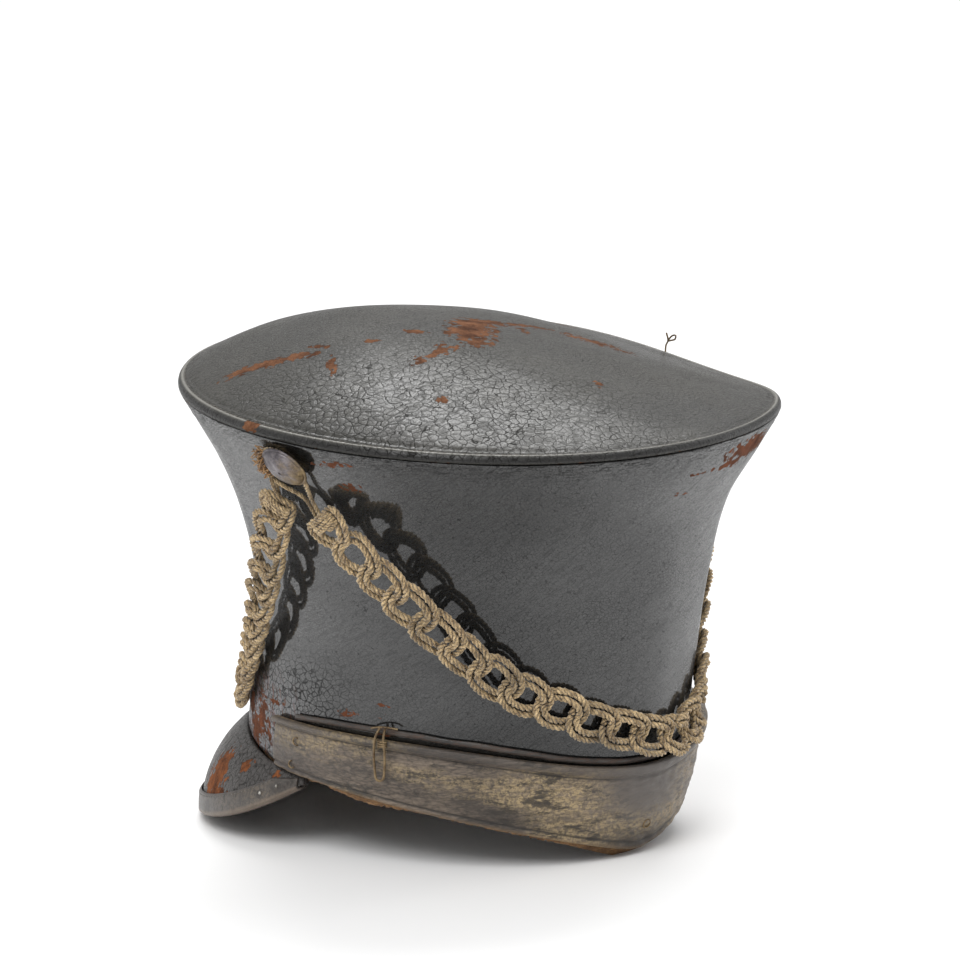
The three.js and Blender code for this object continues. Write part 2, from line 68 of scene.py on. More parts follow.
GAPE_ANGLE = -43
GAPE_SPREAD = 36
GAPE_START = 0.006
GAPE_END = 0.034
BROW_RISE = 0.0125
CROWN_SHARES = (0, 0.2, 0.4, 0.6, 0.8, 0.92, 1)
CROWN_FLARES = (-0.046, 0.036, 0.055, 0.195, 0.48, 0.79, 1)
CROWN_LEANS = (-0.7, -0.09, 0.35, 0.52, 0.56, 0.85, 1)

# Domed top.
TOP_THICKNESS = 0.0024
DOME_RISE = 0.0263
DOME_POWER = 1.783
DOME_LEAN_LEFT = 0.614
DOME_LEAN_FRONT = 0.381
TOP_SPAN = 0.1266

# Neck band, strap and sweatband.
BAND_THICKNESS = 0.0017
BAND_END_ANGLE = 111.5
BAND_TOP = 0.058
BAND_TOP_DIP = 0.0165
BAND_TOP_SHARPNESS = 5.5
BAND_FULLNESS = 0.0009
HEM_ROLL = 0.0032
HEM_FULLNESS = 0.0006
STRAP_TOP = 0.063
STRAP_TOP_DIP = 0.0184
STRAP_END_ANGLE = 103
STRAP_END_DROP = 0.0016
STRAP_HEIGHT = 0.0026
STRAP_THICKNESS = 0.0015
SWEATBAND_THICKNESS = 0.0015
SWEATBAND_HEIGHT = 0.036
SWEATBAND_SHOW = 0.0045
SWEATBAND_NECK_SHOW = 0.0039
SWEATBAND_LEAST_SHOW = 0.0016

# Peak and its binding.
PEAK_HALF_ANGLE = 80
PEAK_REACH = 0.0255
PEAK_REACH_POWER = 0.65
PEAK_THICKNESS = 0.0024
PEAK_CORNER_HEIGHT = 0.03
PEAK_CURL = 0.8
BINDING_THICKNESS = 0.001
BINDING_WIDTH = 0.0084
BINDING_GAP = 0.0006
BINDING_CORNER_SHARE = 0.7

# Plaits.
PLAIT_THICKNESS = 0.006
PLAIT_PITCH = 0.0151
PLAIT_CLEARANCE = 0.0009
PLAIT_HANG = 0.008
PLAIT_HANG_LOW = 0.075
PLAIT_HANG_HIGH = 0.17
HEM_EASE = 0.009
REAR_PLAIT = {"low": 0.0505, "top": 0.1565, "end": 83, "centre": 0, "sway": -7}
REAR_SHARES = (0, 0.2, 0.4, 0.6, 0.75, 0.88, 1)
REAR_RISES = (0, 0.06, 0.165, 0.315, 0.53, 0.765, 1)
FRONT_PLAIT = {"low": 0.057, "top": 0.162, "end": 87, "centre": 180, "sway": 0}
FRONT_SHARES = (0, 0.3, 0.5, 0.62, 0.79, 0.9, 1)
FRONT_RISES = (0, 0.012, 0.06, 0.235, 0.51, 0.76, 1)
PLAIT_CORD = 0.0029
OUTER_RING = (0.0106, 0.0077)
INNER_RING = (0.0077, 0.0047)
STRAND_LAY = 0.235
STRAND_RADIUS = 0.275

# Button, hangers, wire, plate and hooks.
BUTTON_RADIUS = 0.01075
BUTTON_DOME = 0.0034
BUTTON_EDGE = 0.001
BUTTON_STAND_OFF = 0.0029
BUTTON_ANGLE = 87.5
BUTTON_BELOW_RIM = 0.0094
SHANK_RADIUS = 0.0015
HANGER_CORD = 0.002
SHANK_WIRE = 0.0012
PLATE_WIDTH = 0.118
PLATE_HEIGHT = 0.07
PLATE_TOP = 0.152
PLATE_THICKNESS = 0.001
PLATE_STAND_OFF = 0.0012
PLATE_SHARES = (0, 0.25, 0.5, 0.75, 0.92, 1)
PLATE_WIDTHS = (1, 0.96, 0.82, 0.55, 0.26, 0.08)
HOOK_WIRE = 0.0011
HOOK_LENGTH = 0.02
HOOK_WIDTH = 0.0042
HOOK_ANGLE = 74.5

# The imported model's shift from these sizes' own centre.
top_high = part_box("crown_top")[1]
sweatband_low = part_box("sweatband")[0]
SHIFT = np.array([
    top_high[0] - RIM_WIDTH / 2,
    top_high[1] - RIM_SHIFT - RIM_LENGTH / 2,
    sweatband_low[2],
])

# Camera, as the photograph was taken.
CAMERA_AZIMUTH = 133.2
CAMERA_ELEVATION = 12.35
CAMERA_ROLL = -2.4
CAMERA_DISTANCE = 2.5
CAMERA_TARGET = np.array([0, 0, 0.095])
CAMERA_LENS = 219.6
PHOTO_CENTRE = (0.00225, 0.02157)


def follow(shares, values, at):
    """A smooth curve through a table, by cubic pieces."""
    shares = np.asarray(shares, float)
    values = np.asarray(values, float)
    at = np.asarray(at, float)
    steps = np.diff(values) / np.diff(shares)
    slopes = np.concatenate([steps[:1], (steps[1:] + steps[:-1]) / 2, steps[-1:]])
    i = np.clip(np.searchsorted(shares, at, side="right") - 1, 0, len(shares) - 2)
    width = shares[i + 1] - shares[i]
    t = np.clip((at - shares[i]) / width, 0, 1)
    curve = values[i] + (values[i + 1] - values[i]) * t * t * (3 - 2 * t)
    curve = curve + width * (t * (1 - t) ** 2 * slopes[i] + t * t * (t - 1) * slopes[i + 1])
    below = np.minimum(at - shares[0], 0) * slopes[0]
    return curve + below + np.maximum(at - shares[-1], 0) * slopes[-1]


def smooth_step(low, high, at):
    t = np.clip((np.asarray(at, float) - low) / (high - low), 0, 1)
    return t * t * (3 - 2 * t)


def hump(at, middle, spread):
    """A smooth rise to 1 at the middle."""
    return np.exp(-(((at - middle) / spread) ** 2))


def turned_from(angle, centre):
    """The angle from a centre, between -180 and 180."""
    return (np.asarray(angle, float) - centre + 540) % 360 - 180


def neck_share(angle, sharpness):
    return ((1 + np.cos(np.radians(angle))) / 2) ** sharpness


def from_front(angle):
    return 180 - np.abs(turned_from(angle, 0))


def neck_drop(angle):
    """How far down the neck the edge has come, from 0 at the sides to 1 at the back, where it is pointed."""
    away = np.sqrt(turned_from(angle, 0) ** 2 + 36) - 6
    return np.clip(1 - away / NECK_REACH, 0, 1) ** NECK_POWER


def gape(angle):
    """How far the neck edge stands out at the right of the back, where the cap is pressed out of shape."""
    return BAND_GAPE * hump(turned_from(angle, GAPE_ANGLE), 0, GAPE_SPREAD)


def crown_edge(angle):
    brow = np.maximum(0, 1 - (from_front(angle) / PEAK_HALF_ANGLE) ** 2) ** 1.5
    return SIDE_EDGE - NECK_DIP * neck_drop(angle) + BROW_RISE * brow


def rim_edge(angle):
    sag = RIM_SAG * hump(turned_from(angle, RIM_SAG_ANGLE), 0, RIM_SAG_SPREAD)
    return RIM_HEIGHT - RIM_FALL / 2 * np.cos(np.radians(angle)) - sag


def crown_point(angle, height, offset=0.0):
    """Points of the crown's outer surface, moved outwards by an offset."""
    angle, height, offset = np.broadcast_arrays(np.asarray(angle, float), height, offset)
    edge = crown_edge(angle)
    share = (height - edge) / (rim_edge(angle) - edge)
    flare = follow(CROWN_SHARES, CROWN_FLARES, share)
    lean = follow(CROWN_SHARES, CROWN_LEANS, share)
    offset = offset + gape(angle) * (1 - smooth_step(edge + GAPE_START, edge + GAPE_END, height))
    half_length = (WAIST_LENGTH + (RIM_LENGTH - WAIST_LENGTH) * flare) / 2 + offset
    half_width = (WAIST_WIDTH + (RIM_WIDTH - WAIST_WIDTH) * flare) / 2 + offset
    turn = np.radians(angle)
    x, y = half_width * np.sin(turn), RIM_SHIFT * lean + half_length * np.cos(turn)
    return np.stack([x, y, height], -1) + SHIFT


def crown_normal(angle, height, offset=0.0):
    """Outward directions of the crown's surface."""
    small = 0.05
    thin = 0.0001
    round_way = crown_point(angle + small, height, offset) - crown_point(angle - small, height, offset)
    rise = crown_point(angle, height + thin, offset) - crown_point(angle, height - thin, offset)
    out = np.cross(rise, round_way)
    return out / np.linalg.norm(out, axis=-1, keepdims=True)


def ripple(seed, around, along, count=9):
    """A smooth random surface between about -1 and 1, from a few waves. It joins up round the cap."""
    chance = np.random.default_rng(seed)
    total = 0
    for _ in range(count):
        turns = chance.integers(1, 7)
        rows = chance.uniform(-22, 22)
        total = total + np.cos(turns * around + rows * along * 2 + chance.uniform(0, 2 * math.pi))
    return total / count * 2


# Meshes.


def new_piece(name, data):
    piece = bpy.data.objects.new(name, data)
    bpy.context.scene.collection.objects.link(piece)
    return piece


def finish_piece(piece, material=None, replaced=()):
    """Gives the piece its material, lets it ride on the cap and hides the parts it stands for."""
    if material is not None:
        piece.data.materials.clear()
        piece.data.materials.append(material)
    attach(piece, "root")
    if replaced:
        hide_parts(*replaced)
    return piece


def add_field(mesh, name, values):
    field = mesh.attributes.new(name, "FLOAT", "POINT")
    field.data.foreach_set("value", np.asarray(values, np.float32).ravel())


def merge_points(mesh, distance, outward=False):
    """Joins the points that fall together. It can turn the faces outwards too."""
    work = bmesh.new()
    work.from_mesh(mesh)
    bmesh.ops.remove_doubles(work, verts=work.verts, dist=distance)
    if outward:
        bmesh.ops.recalc_face_normals(work, faces=work.faces)
    work.to_mesh(mesh)
    work.free()
    mesh.shade_smooth()


def shell(name, outer, inner, closed, fields=None):
    """A closed wall from an outer and an inner grid of points, columns by rows. Fields are numbers kept
    at each point of the outer grid, for the materials to read."""
    ring = np.concatenate([outer, inner[:, ::-1]], axis=1)
    columns, rows = ring.shape[:2]
    number = np.arange(columns * rows).reshape(columns, rows)
    left = number if closed else number[:-1]
    right = np.roll(number, -1, axis=0) if closed else number[1:]
    faces = np.stack([left, right, np.roll(right, -1, axis=1), np.roll(left, -1, axis=1)], -1).reshape(-1, 4)
    if not closed:
        half = outer.shape[1]
        for column, turned in ((0, False), (columns - 1, True)):
            line = number[column]
            cap = np.stack([line[: half - 1], line[1:half], line[::-1][1:half], line[::-1][: half - 1]], -1)
            faces = np.concatenate([faces, cap[:, ::-1] if turned else cap])
    points = ring.reshape(-1, 3)
    a, b, c, d = (points[faces[:, k]] for k in range(4))
    volume = np.einsum("ij,ij->i", a, np.cross(b, c)).sum() + np.einsum("ij,ij->i", a, np.cross(c, d)).sum()
    if volume < 0:
        faces = faces[:, ::-1]
    mesh = bpy.data.meshes.new(name)
    mesh.from_pydata(points.tolist(), [], faces.tolist())
    for field, values in (fields or {}).items():
        empty = np.zeros(inner.shape[:2])
        add_field(mesh, field, np.concatenate([np.broadcast_to(values, outer.shape[:2]), empty], axis=1))
    merge_points(mesh, 2e-6)
    return new_piece(name, mesh)


def rounded_rows(count, edge):
    """Shares from one edge of a wall to the other, and how full its thickness is at each."""
    turn = np.radians([0, 22, 45, 68, 90])
    near = edge * (1 - np.cos(turn))
    middle = np.linspace(edge, 1 - edge, count)[1:-1]
    shares = np.concatenate([near, middle, 1 - near[::-1]])
    fullness = np.concatenate([np.sin(turn), np.ones(len(middle)), np.sin(turn[::-1])])
    return shares, fullness


def spot(around, along, places):
    """Soft marks on a surface. Each place is its two coordinates, its half length, its half width, its
    turn in degrees and its strength. The value falls from the strength at the middle to 0 and below."""
    total = np.full(np.broadcast(around, along).shape, -1.0)
    for x, y, length, width, turn, strength in places:
        c, s = math.cos(math.radians(turn)), math.sin(math.radians(turn))
        u = ((around - x) * c + (along - y) * s) / length
        v = ((along - y) * c - (around - x) * s) / width
        total = np.maximum(total, strength * (1.6 - 1.1 * np.sqrt(u * u + v * v)))
    return total


# Crown, top, band, strap, sweatband and peak.


def body_marks(angle, height):
    """Where the black has come off the crown's wall: angle and height of each mark, and its size."""
    places = [
        (77.5, 0.1812, 4.6, 0.0011, 0, 1.0),
        (74.8, 0.1704, 1.9, 0.0022, 0, 0.9),
        (-19, 0.1712, 8.5, 0.0037, 0, 1.3),
        (-11, 0.1665, 5.5, 0.0016, 0, 0.9),
        (-2, 0.1668, 5, 0.0007, 0, 0.75),
        (3.6, 0.159, 2.2, 0.0007, 0, 0.6),
        (74, 0.0594, 4.6, 0.0011, 0, 0.95),
        (76.6, 0.0665, 1.1, 0.0008, 0, 0.8),
        (77, 0.0712, 3.0, 0.0007, 0, 0.75),
        (86, 0.0655, 2.4, 0.0014, 0, 0.7),
        (122, 0.052, 3.5, 0.009, 0, 0.95),
        (127, 0.046, 4.5, 0.007, 0, 1.0),
        (117.5, 0.047, 1.6, 0.005, 0, 0.9),
        (133, 0.055, 4, 0.005, 0, 0.8),
        (113, 0.063, 3.5, 0.0012, 0, 0.7),
        (-128, 0.05, 5, 0.007, 0, 0.8),
        (-74, 0.06, 4, 0.001, 0, 0.8),
        (-96, 0.178, 5, 0.001, 0, 0.8),
        (150, 0.178, 7, 0.0012, 0, 0.8),
        (-150, 0.07, 5, 0.0012, 0, 0.7),
    ]
    around = np.where(angle < -170, angle + 360, angle)
    scaled = [(a, z * 1000, wide, tall * 1000, turn, strength) for a, z, wide, tall, turn, strength in places]
    return np.maximum(spot(around, height * 1000, scaled), spot(around - 360, height * 1000, scaled))


def ring_angles(columns):
    return np.linspace(-180, 180, columns, endpoint=False)[:, None]


def crown_wall():
    angle = ring_angles(640)
    shares, fullness = rounded_rows(92, 0.006)
    edge, rim = crown_edge(angle), rim_edge(angle)
    height = edge + (rim - edge) * shares
    around = np.radians(angle)
    below_rim = rim - height
    pucker = hump(below_rim, 0.0055, 0.0042) * ripple(5, 17 * around, height * 40, 14)
    creases = hump(height, edge, 0.02) * ripple(8, 9 * around, height * 30, 12)
    dents = ripple(2, around, height * 5, 10)
    relief = 0.00028 * pucker + 0.00018 * creases + 0.00035 * dents * np.sin(math.pi * shares)
    outer = crown_point(angle, height, (fullness - 1) * CROWN_WALL / 2 + relief * fullness)
    inner_shares, inner_fullness = rounded_rows(8, 0.006)
    inner_height = edge + (rim - edge) * inner_shares
    inner = crown_point(angle, inner_height, -CROWN_WALL + (1 - inner_fullness) * CROWN_WALL / 2)
    marks = body_marks(angle + 0 * height, height)
    rim_share = hump(below_rim, 0, 0.007) + 0 * height
    front_side = smooth_step(98, 116, np.abs(angle)) * (1 - smooth_step(0.058, 0.08, height))
    coarse = smooth_step(72, 100, np.abs(angle)) * (1 - smooth_step(0.07, 0.1, height))
    fields = {"bare": marks, "near_rim": rim_share, "flaking": front_side, "coarse": coarse}
    return shell("crown_wall", outer, inner, True, fields)


def top_point(angle, reach, lift):
    """Points of the domed top, from its centre, at reach 0, to the rim, at reach 1."""
    angle, reach = np.broadcast_arrays(np.asarray(angle, float), reach)
    edge = crown_point(angle, rim_edge(angle)) - SHIFT
    centre = np.array([0, RIM_SHIFT, RIM_HEIGHT])
    point = centre + (edge - centre) * reach[..., None]
    x, y = point[..., 0], point[..., 1] - RIM_SHIFT
    lean = 1 + DOME_LEAN_LEFT * x / (RIM_WIDTH / 2) - DOME_LEAN_FRONT * y / (RIM_LENGTH / 2)
    level = RIM_HEIGHT - RIM_FALL / RIM_LENGTH * y
    flat = level + (point[..., 2] - level) * reach**2
    point[..., 2] = flat + DOME_RISE * (1 - reach**DOME_POWER) * lean + lift
    return point + SHIFT


TOP_MARKS = [
    (0.0900, -0.0240, 0.0150, 0.0034, 125, 1.0),
    (0.0805, -0.0130, 0.0060, 0.0022, 120, 0.9),
    (0.0960, -0.0330, 0.0060, 0.0026, 118, 0.95),
    (0.0714, -0.0096, 0.0046, 0.0018, 110, 0.8),
    (0.0842, 0.0084, 0.0070, 0.0018, 45, 0.9),
    (0.0584, 0.0067, 0.0034, 0.0016, 120, 0.75),
    (0.0382, 0.0116, 0.0050, 0.0022, 130, 0.75),
    (0.0170, 0.0240, 0.0140, 0.0085, 47, 1.05),
    (0.0060, 0.0160, 0.0090, 0.0080, 60, 1.0),
    (-0.0040, 0.0120, 0.0110, 0.0045, 160, 0.95),
    (-0.0230, 0.0160, 0.0130, 0.0028, 165, 0.9),
    (-0.0146, 0.0253, 0.0055, 0.0024, 50, 0.8),
    (0.0500, 0.0340, 0.0130, 0.0028, 0, 0.8),
    (0.0410, 0.0300, 0.0060, 0.0022, 30, 0.75),
    (0.0751, 0.0622, 0.0028, 0.0022, 45, 0.75),
    (0.1262, 0.0012, 0.0022, 0.0040, 0, 0.8),
    (0.0051, 0.0852, 0.0028, 0.0020, 45, 0.9),
    (-0.0500, 0.0370, 0.0120, 0.0060, 120, 0.72),
    (-0.0300, -0.0600, 0.0110, 0.0050, 30, 0.85),
    (0.0200, -0.0800, 0.0060, 0.0030, 80, 0.8),
    (-0.0800, -0.0100, 0.0070, 0.0030, 10, 0.8),
]


def domed_top():
    angle = ring_angles(480)
    depth = np.concatenate([np.linspace(0, 0.006, 22), np.linspace(0.0068, 0.12, 82)])
    reach = np.concatenate([1 - depth / TOP_SPAN, [0.02, 0.0]])[None, :]
    inward = (1 - reach) * TOP_SPAN
    around = np.radians(angle)
    from_edge = np.clip(inward / 0.0013, 0, 1)
    round_edge = TOP_THICKNESS * 0.55 * (np.sqrt(np.clip(1 - (1 - from_edge) ** 2, 0, 1)) - 1)
    welt = 0.00035 * hump(inward, 0.0014, 0.0009) - 0.00045 * hump(inward, 0.003, 0.0005)
    sunk = -0.0004 * hump(inward, 0.0048, 0.0011) * (1 + 0.6 * ripple(3, 23 * around, inward * 3, 12))
    x, y = np.sin(around) * reach, np.cos(around) * reach
    waves = ripple(31, 0 * around + x * 1.6, y * 0.18, 11)
    waves = waves + 0.5 * ripple(47, 0 * around + y * 2.7, x * 0.3, 11)
    relief = round_edge + welt + sunk + 0.00045 * waves * smooth_step(0.004, 0.03, inward)
    outer = top_point(angle, reach, PIECE_GAP + TOP_THICKNESS + relief)
    inner_reach = np.array([1, 0.97, 0.9, 0.75, 0.5, 0.25, 0.0])[None, :]
    inner = top_point(angle, inner_reach, PIECE_GAP)
    place = outer - SHIFT
    marks = spot(place[..., 0], place[..., 1], TOP_MARKS)
    inward = inward + 0 * angle
    left_rear = spot(place[..., 0], place[..., 1], [(0.083, 0.064, 0.1, 0.046, 133, 0.8)])
    big_cells = np.clip(left_rear + 0.15, 0, 1)
    # Where the top's colour gets its painted highlight along the welt and its painted shade at the very edge.
    welt_highlight_and_edge_shade = hump(inward, 0.0019, 0.0008) - hump(inward, 0, 0.001)
    fields = {"bare": marks, "near_rim": welt_highlight_and_edge_shade, "coarse": big_cells}
    return shell("domed_top", outer, inner, True, fields)


def band_top_edge(angle):
    return BAND_TOP - BAND_TOP_DIP * neck_share(angle, BAND_TOP_SHARPNESS)


def folded_band():
    angle = np.linspace(-BAND_END_ANGLE, BAND_END_ANGLE, 420)[:, None]
    shares, fullness = rounded_rows(58, 0.02)
    height = crown_edge(angle) + (band_top_edge(angle) - crown_edge(angle)) * shares
    around = np.radians(angle)
    swell = BAND_FULLNESS * hump(shares, 0.4, 0.26)
    hem = (HEM_ROLL - BAND_THICKNESS) * smooth_step(0.845, 0.9, shares)
    roll = HEM_FULLNESS * hump(shares, 0.95, 0.04)
    crease = -0.0006 * hump(shares, 0.84, 0.014) - 0.0004 * hump(shares, 0.09, 0.014)
    waves = 0.00022 * ripple(14, 3 * around, height * 60, 12)
    waves = waves + 0.00012 * ripple(15, 13 * around, height * 20, 12)
    crumple = 0.0007 * ripple(16, 9 * around, height * 55, 12) * hump(angle, 0, 26) * (1 - shares)
    thick = BAND_THICKNESS + swell + hem + roll + crease + waves + crumple
    edge = crown_edge(angle)
    away = PIECE_GAP + gape(angle) * smooth_step(edge + GAPE_START, edge + GAPE_END, height)
    outer = crown_point(angle, height, away + thick * (0.45 + 0.55 * fullness))
    inner = crown_point(angle, height, away + 0.45 * thick * (1 - fullness))
    fields = {"share": shares + 0 * angle, "around": angle / 100 + 0 * shares}
    return shell("folded_band", outer, inner, False, fields)


def strap_top_edge(angle):
    towards_end = (np.abs(angle) / STRAP_END_ANGLE) ** NECK_SHARPNESS
    return STRAP_TOP - STRAP_TOP_DIP * neck_share(angle, BAND_TOP_SHARPNESS) - STRAP_END_DROP * towards_end


def narrow_strap():
    angle = np.linspace(-STRAP_END_ANGLE, STRAP_END_ANGLE, 360)[:, None]
    turn = np.radians(np.linspace(-90, 90, 11))
    top = strap_top_edge(angle)
    wave = 0.00025 * ripple(21, 5 * np.radians(angle), 0, 9)
    height = top - STRAP_HEIGHT / 2 * (1 - np.sin(turn)) + wave
    outer = crown_point(angle, height, PIECE_GAP + STRAP_THICKNESS * (0.3 + 0.7 * np.cos(turn)))
    inner = crown_point(angle, height, PIECE_GAP + 0 * angle + 0.3 * STRAP_THICKNESS * (1 - np.cos(turn)))
    return shell("narrow_strap", outer, inner, False)


def raw_sweatband():
    angle = ring_angles(480)
    around = np.radians(angle)
    beside = np.maximum(hump(np.abs(angle), 82, 13), smooth_step(88, 108, np.abs(angle)))
    least = SWEATBAND_LEAST_SHOW
    show = least + (SWEATBAND_SHOW - least) * beside + (SWEATBAND_NECK_SHOW - least) * neck_share(angle, 40)
    ragged = 0.0007 * ripple(61, 29 * around, 0, 16) + 0.0005 * ripple(62, 71 * around, 0, 16)
    low = np.maximum(0, crown_edge(angle) - show + ragged * smooth_step(12, 30, np.abs(angle)))
    top = crown_edge(angle) + SWEATBAND_HEIGHT
    shares, fullness = rounded_rows(22, 0.02)
    height = low + (top - low) * shares
    middle = -CROWN_WALL - PIECE_GAP - SWEATBAND_THICKNESS / 2
    half = SWEATBAND_THICKNESS / 2 * fullness
    outer = crown_point(angle, height, middle + half)
    inner = crown_point(angle, height, middle - half)
    return shell("raw_sweatband", outer, inner, True, {"share": shares + 0 * angle})


def peak_point(front, q, offset, drop=0.0):
    """Points of the peak: an angle from the front, a place on its section and an offset from the leather."""
    front, q, offset, drop = np.broadcast_arrays(np.asarray(front, float), q, offset, drop)
    share = np.minimum(np.abs(front) / PEAK_HALF_ANGLE, 1)
    angle = 180 - front
    top = crown_edge(angle) - PIECE_GAP
    tip = BINDING_THICKNESS + BINDING_GAP
    low = tip + (PEAK_CORNER_HEIGHT - PIECE_GAP - tip) * share**3
    reach = PEAK_REACH * np.maximum(0, 1 - share**2) ** PEAK_REACH_POWER

    def flat(at):
        return reach * np.sin(math.pi / 2 * at**PEAK_CURL), top + (low - top) * at

    x, z = flat(q)
    x_after, z_after = flat(np.minimum(q + 0.01, 1))
    x_before, z_before = flat(np.maximum(q - 0.01, 0))
    run, rise = x_after - x_before, z_after - z_before
    length = np.hypot(run, rise) + 1e-9
    root = crown_point(angle, top)
    turn = np.radians(angle)
    outward = np.stack([np.sin(turn) / WAIST_WIDTH, np.cos(turn) / WAIST_LENGTH], -1)
    outward = outward / np.linalg.norm(outward, axis=-1, keepdims=True)
    point = root.copy()
    point[..., :2] += outward * (x - rise / length * offset)[..., None]
    point[..., 2] = z + run / length * offset - drop + SHIFT[2]
    return point


PEAK_FRONTS = (PEAK_HALF_ANGLE * np.sin(math.pi / 2 * np.linspace(-1, 1, 281)))[:, None]


def curved_peak():
    shares, fullness = rounded_rows(52, 0.02)
    front = PEAK_FRONTS
    waves = 0.0003 * ripple(33, 2 * np.radians(front), shares * 0.2, 10) * np.sin(math.pi * shares)
    creases = 0.00016 * ripple(34, 21 * np.radians(front), shares * 0.12, 16) * smooth_step(0, 0.2, shares)
    relief = (waves + creases) * (1 - smooth_step(0.82, 0.98, shares))
    half = PEAK_THICKNESS / 2
    outer = peak_point(front, shares, -half + (half + relief) * fullness)
    inner = peak_point(front, shares, -half - half * fullness)
    shown = from_front(180 - front) * np.sign(front)
    marks = spot(shown, shares * 100, [
        (46, 50, 5, 26, 0, 1.1), (49, 72, 6, 11, 0, 1.0), (58, 24, 2.6, 9, 0, 0.85), (52, 88, 12, 4, 0, 0.85),
        (71, 40, 2, 22, 0, 0.75), (-48, 60, 9, 18, 0, 0.9), (5, 78, 14, 6, 0, 0.8)])
    return shell("curved_peak", outer, inner, False, {"bare": marks, "coarse": 0.4 + 0 * marks})


def binding_share(front):
    """How much of the peak's depth the binding covers."""
    share = np.abs(front) / PEAK_HALF_ANGLE
    low = BINDING_THICKNESS + BINDING_GAP
    depth = crown_edge(180 - front) - PIECE_GAP - low - (PEAK_CORNER_HEIGHT - PIECE_GAP - low) * share**3
    return np.minimum(BINDING_WIDTH / depth, BINDING_CORNER_SHARE)


def edge_binding():
    front = PEAK_FRONTS[12:-12]
    start = 1 - binding_share(front)
    leaf = np.linspace(0, 1, 12)
    q = start + (1 - start) * leaf
    turn = np.radians(np.linspace(0, 180, 13))[1:-1]

    def layer(offset, thin):
        ease = np.ones_like(leaf)
        ease[:3] = (0.35, 0.75, 0.95)
        pucker = 0.00012 * ripple(71, 47 * np.radians(front), leaf * 0.2, 14)
        outside = peak_point(front, q, offset * (1 - thin * (1 - ease)) + thin * pucker)
        middle = -PEAK_THICKNESS / 2
        half = PEAK_THICKNESS / 2 + offset
        around = peak_point(front, 1.0 + 0 * turn, middle + half * np.cos(turn), offset * np.sin(turn))
        inside = peak_point(front, q[:, ::-1], -PEAK_THICKNESS - offset * (1 - thin * (1 - ease[::-1])))
        return np.concatenate([outside, around, inside], axis=1)

    outer = layer(BINDING_GAP + BINDING_THICKNESS, 0.5)
    inner = layer(BINDING_GAP, 0)
    share_out = np.concatenate([leaf, np.ones(len(turn)), leaf[::-1]])
    return shell("edge_binding", outer, inner, False, {"share": share_out + 0 * front})


# Node trees. What is set on a node is a number, a colour or another node's output.


def fill(tree, node, inputs):
    """Sets a node's inputs, by name or number."""
    for key, value in inputs.items():
        if isinstance(value, bpy.types.NodeSocket):
            tree.links.new(value, node.inputs[key])
        else:
            node.inputs[key].default_value = value


def put(tree, kind, inputs=None, **settings):
    """Adds a node and returns its outputs."""
    node = tree.nodes.new(kind)
    for key, value in settings.items():
        setattr(node, key, value)
    fill(tree, node, inputs or {})
    return node.outputs


def new_tree(kind, name, sockets_in, sockets_out):
    """A node group with named sockets. Each has its kind, and an input has its value."""
    tree = bpy.data.node_groups.new(name, kind)
    for label, socket, value in sockets_in:
        made = tree.interface.new_socket(label, in_out="INPUT", socket_type="NodeSocket" + socket)
        if value is not None:
            made.default_value = value
    for label, socket in sockets_out:
        tree.interface.new_socket(label, in_out="OUTPUT", socket_type="NodeSocket" + socket)
    return tree, put(tree, "NodeGroupInput")


def calc(tree, kind, first, second=0.0, **settings):
    return put(tree, "ShaderNodeMath", {0: first, 1: second}, operation=kind, **settings)[0]


def times(tree, first, second):
    return calc(tree, "MULTIPLY", first, second)


def ranged(tree, value, low, high, to_low=0.0, to_high=1.0, way="LINEAR"):
    return put(tree, "ShaderNodeMapRange", {
        "Value": value, "From Min": low, "From Max": high, "To Min": to_low, "To Max": to_high,
    }, interpolation_type=way)[0]


def noise(tree, vector, scale, detail, roughness=0.5, distortion=0.0):
    return put(tree, "ShaderNodeTexNoise", {
        "Vector": vector, "Scale": scale, "Detail": detail, "Roughness": roughness, "Distortion": distortion})


def cells(tree, vector, scale, feature):
    return put(tree, "ShaderNodeTexVoronoi", {"Vector": vector, "Scale": scale}, feature=feature)


def red_of(tree, colour):
    return put(tree, "ShaderNodeSeparateColor", {"Color": colour})["Red"]


def scaled(tree, vector, by):
    return put(tree, "ShaderNodeVectorMath", {0: vector, "Scale": by}, operation="SCALE")[0]


def jitter(tree, vector, scale, detail, most):
    """A small random move at each place, up to half of the most."""
    cloud = noise(tree, vector, scale, detail)["Color"]
    centred = put(tree, "ShaderNodeVectorMath", {0: cloud, 1: (0.5, 0.5, 0.5)}, operation="SUBTRACT")[0]
    return scaled(tree, centred, most)


# Geometry Nodes trees. Each takes paths and ends in real geometry with its material.


def path_tree(name, sizes):
    """The start of such a tree: its inputs, and its paths in even steps."""
    sockets = [("Geometry", "Geometry", None)] + sizes + [("Material", "Material", None)]
    tree, given = new_tree("GeometryNodeTree", name, sockets, [("Geometry", "Geometry")])
    curve = put(tree, "GeometryNodeMeshToCurve", {"Mesh": given["Geometry"]})[0]
    steps = {"Curve": curve, "Length": given["Spacing"]}
    return tree, given, put(tree, "GeometryNodeResampleCurve", steps, mode="LENGTH")[0]


def end_tree(tree, given, geometry):
    real = put(tree, "GeometryNodeRealizeInstances", {"Geometry": geometry})[0]
    done = put(tree, "GeometryNodeSetMaterial", {"Geometry": real, "Material": given["Material"]})[0]
    put(tree, "NodeGroupOutput", {"Geometry": done})
    return tree


def circle(tree, given, sides, share):
    """A circle whose radius is a share of the given diameter."""
    radius = times(tree, given["Diameter"], share)
    return put(tree, "GeometryNodeCurvePrimitiveCircle", {"Resolution": sides, "Radius": radius})[0]


def swept(tree, path, profile):
    return put(tree, "GeometryNodeCurveToMesh", {
        "Curve": path, "Profile Curve": profile, "Fill Caps": True})[0]


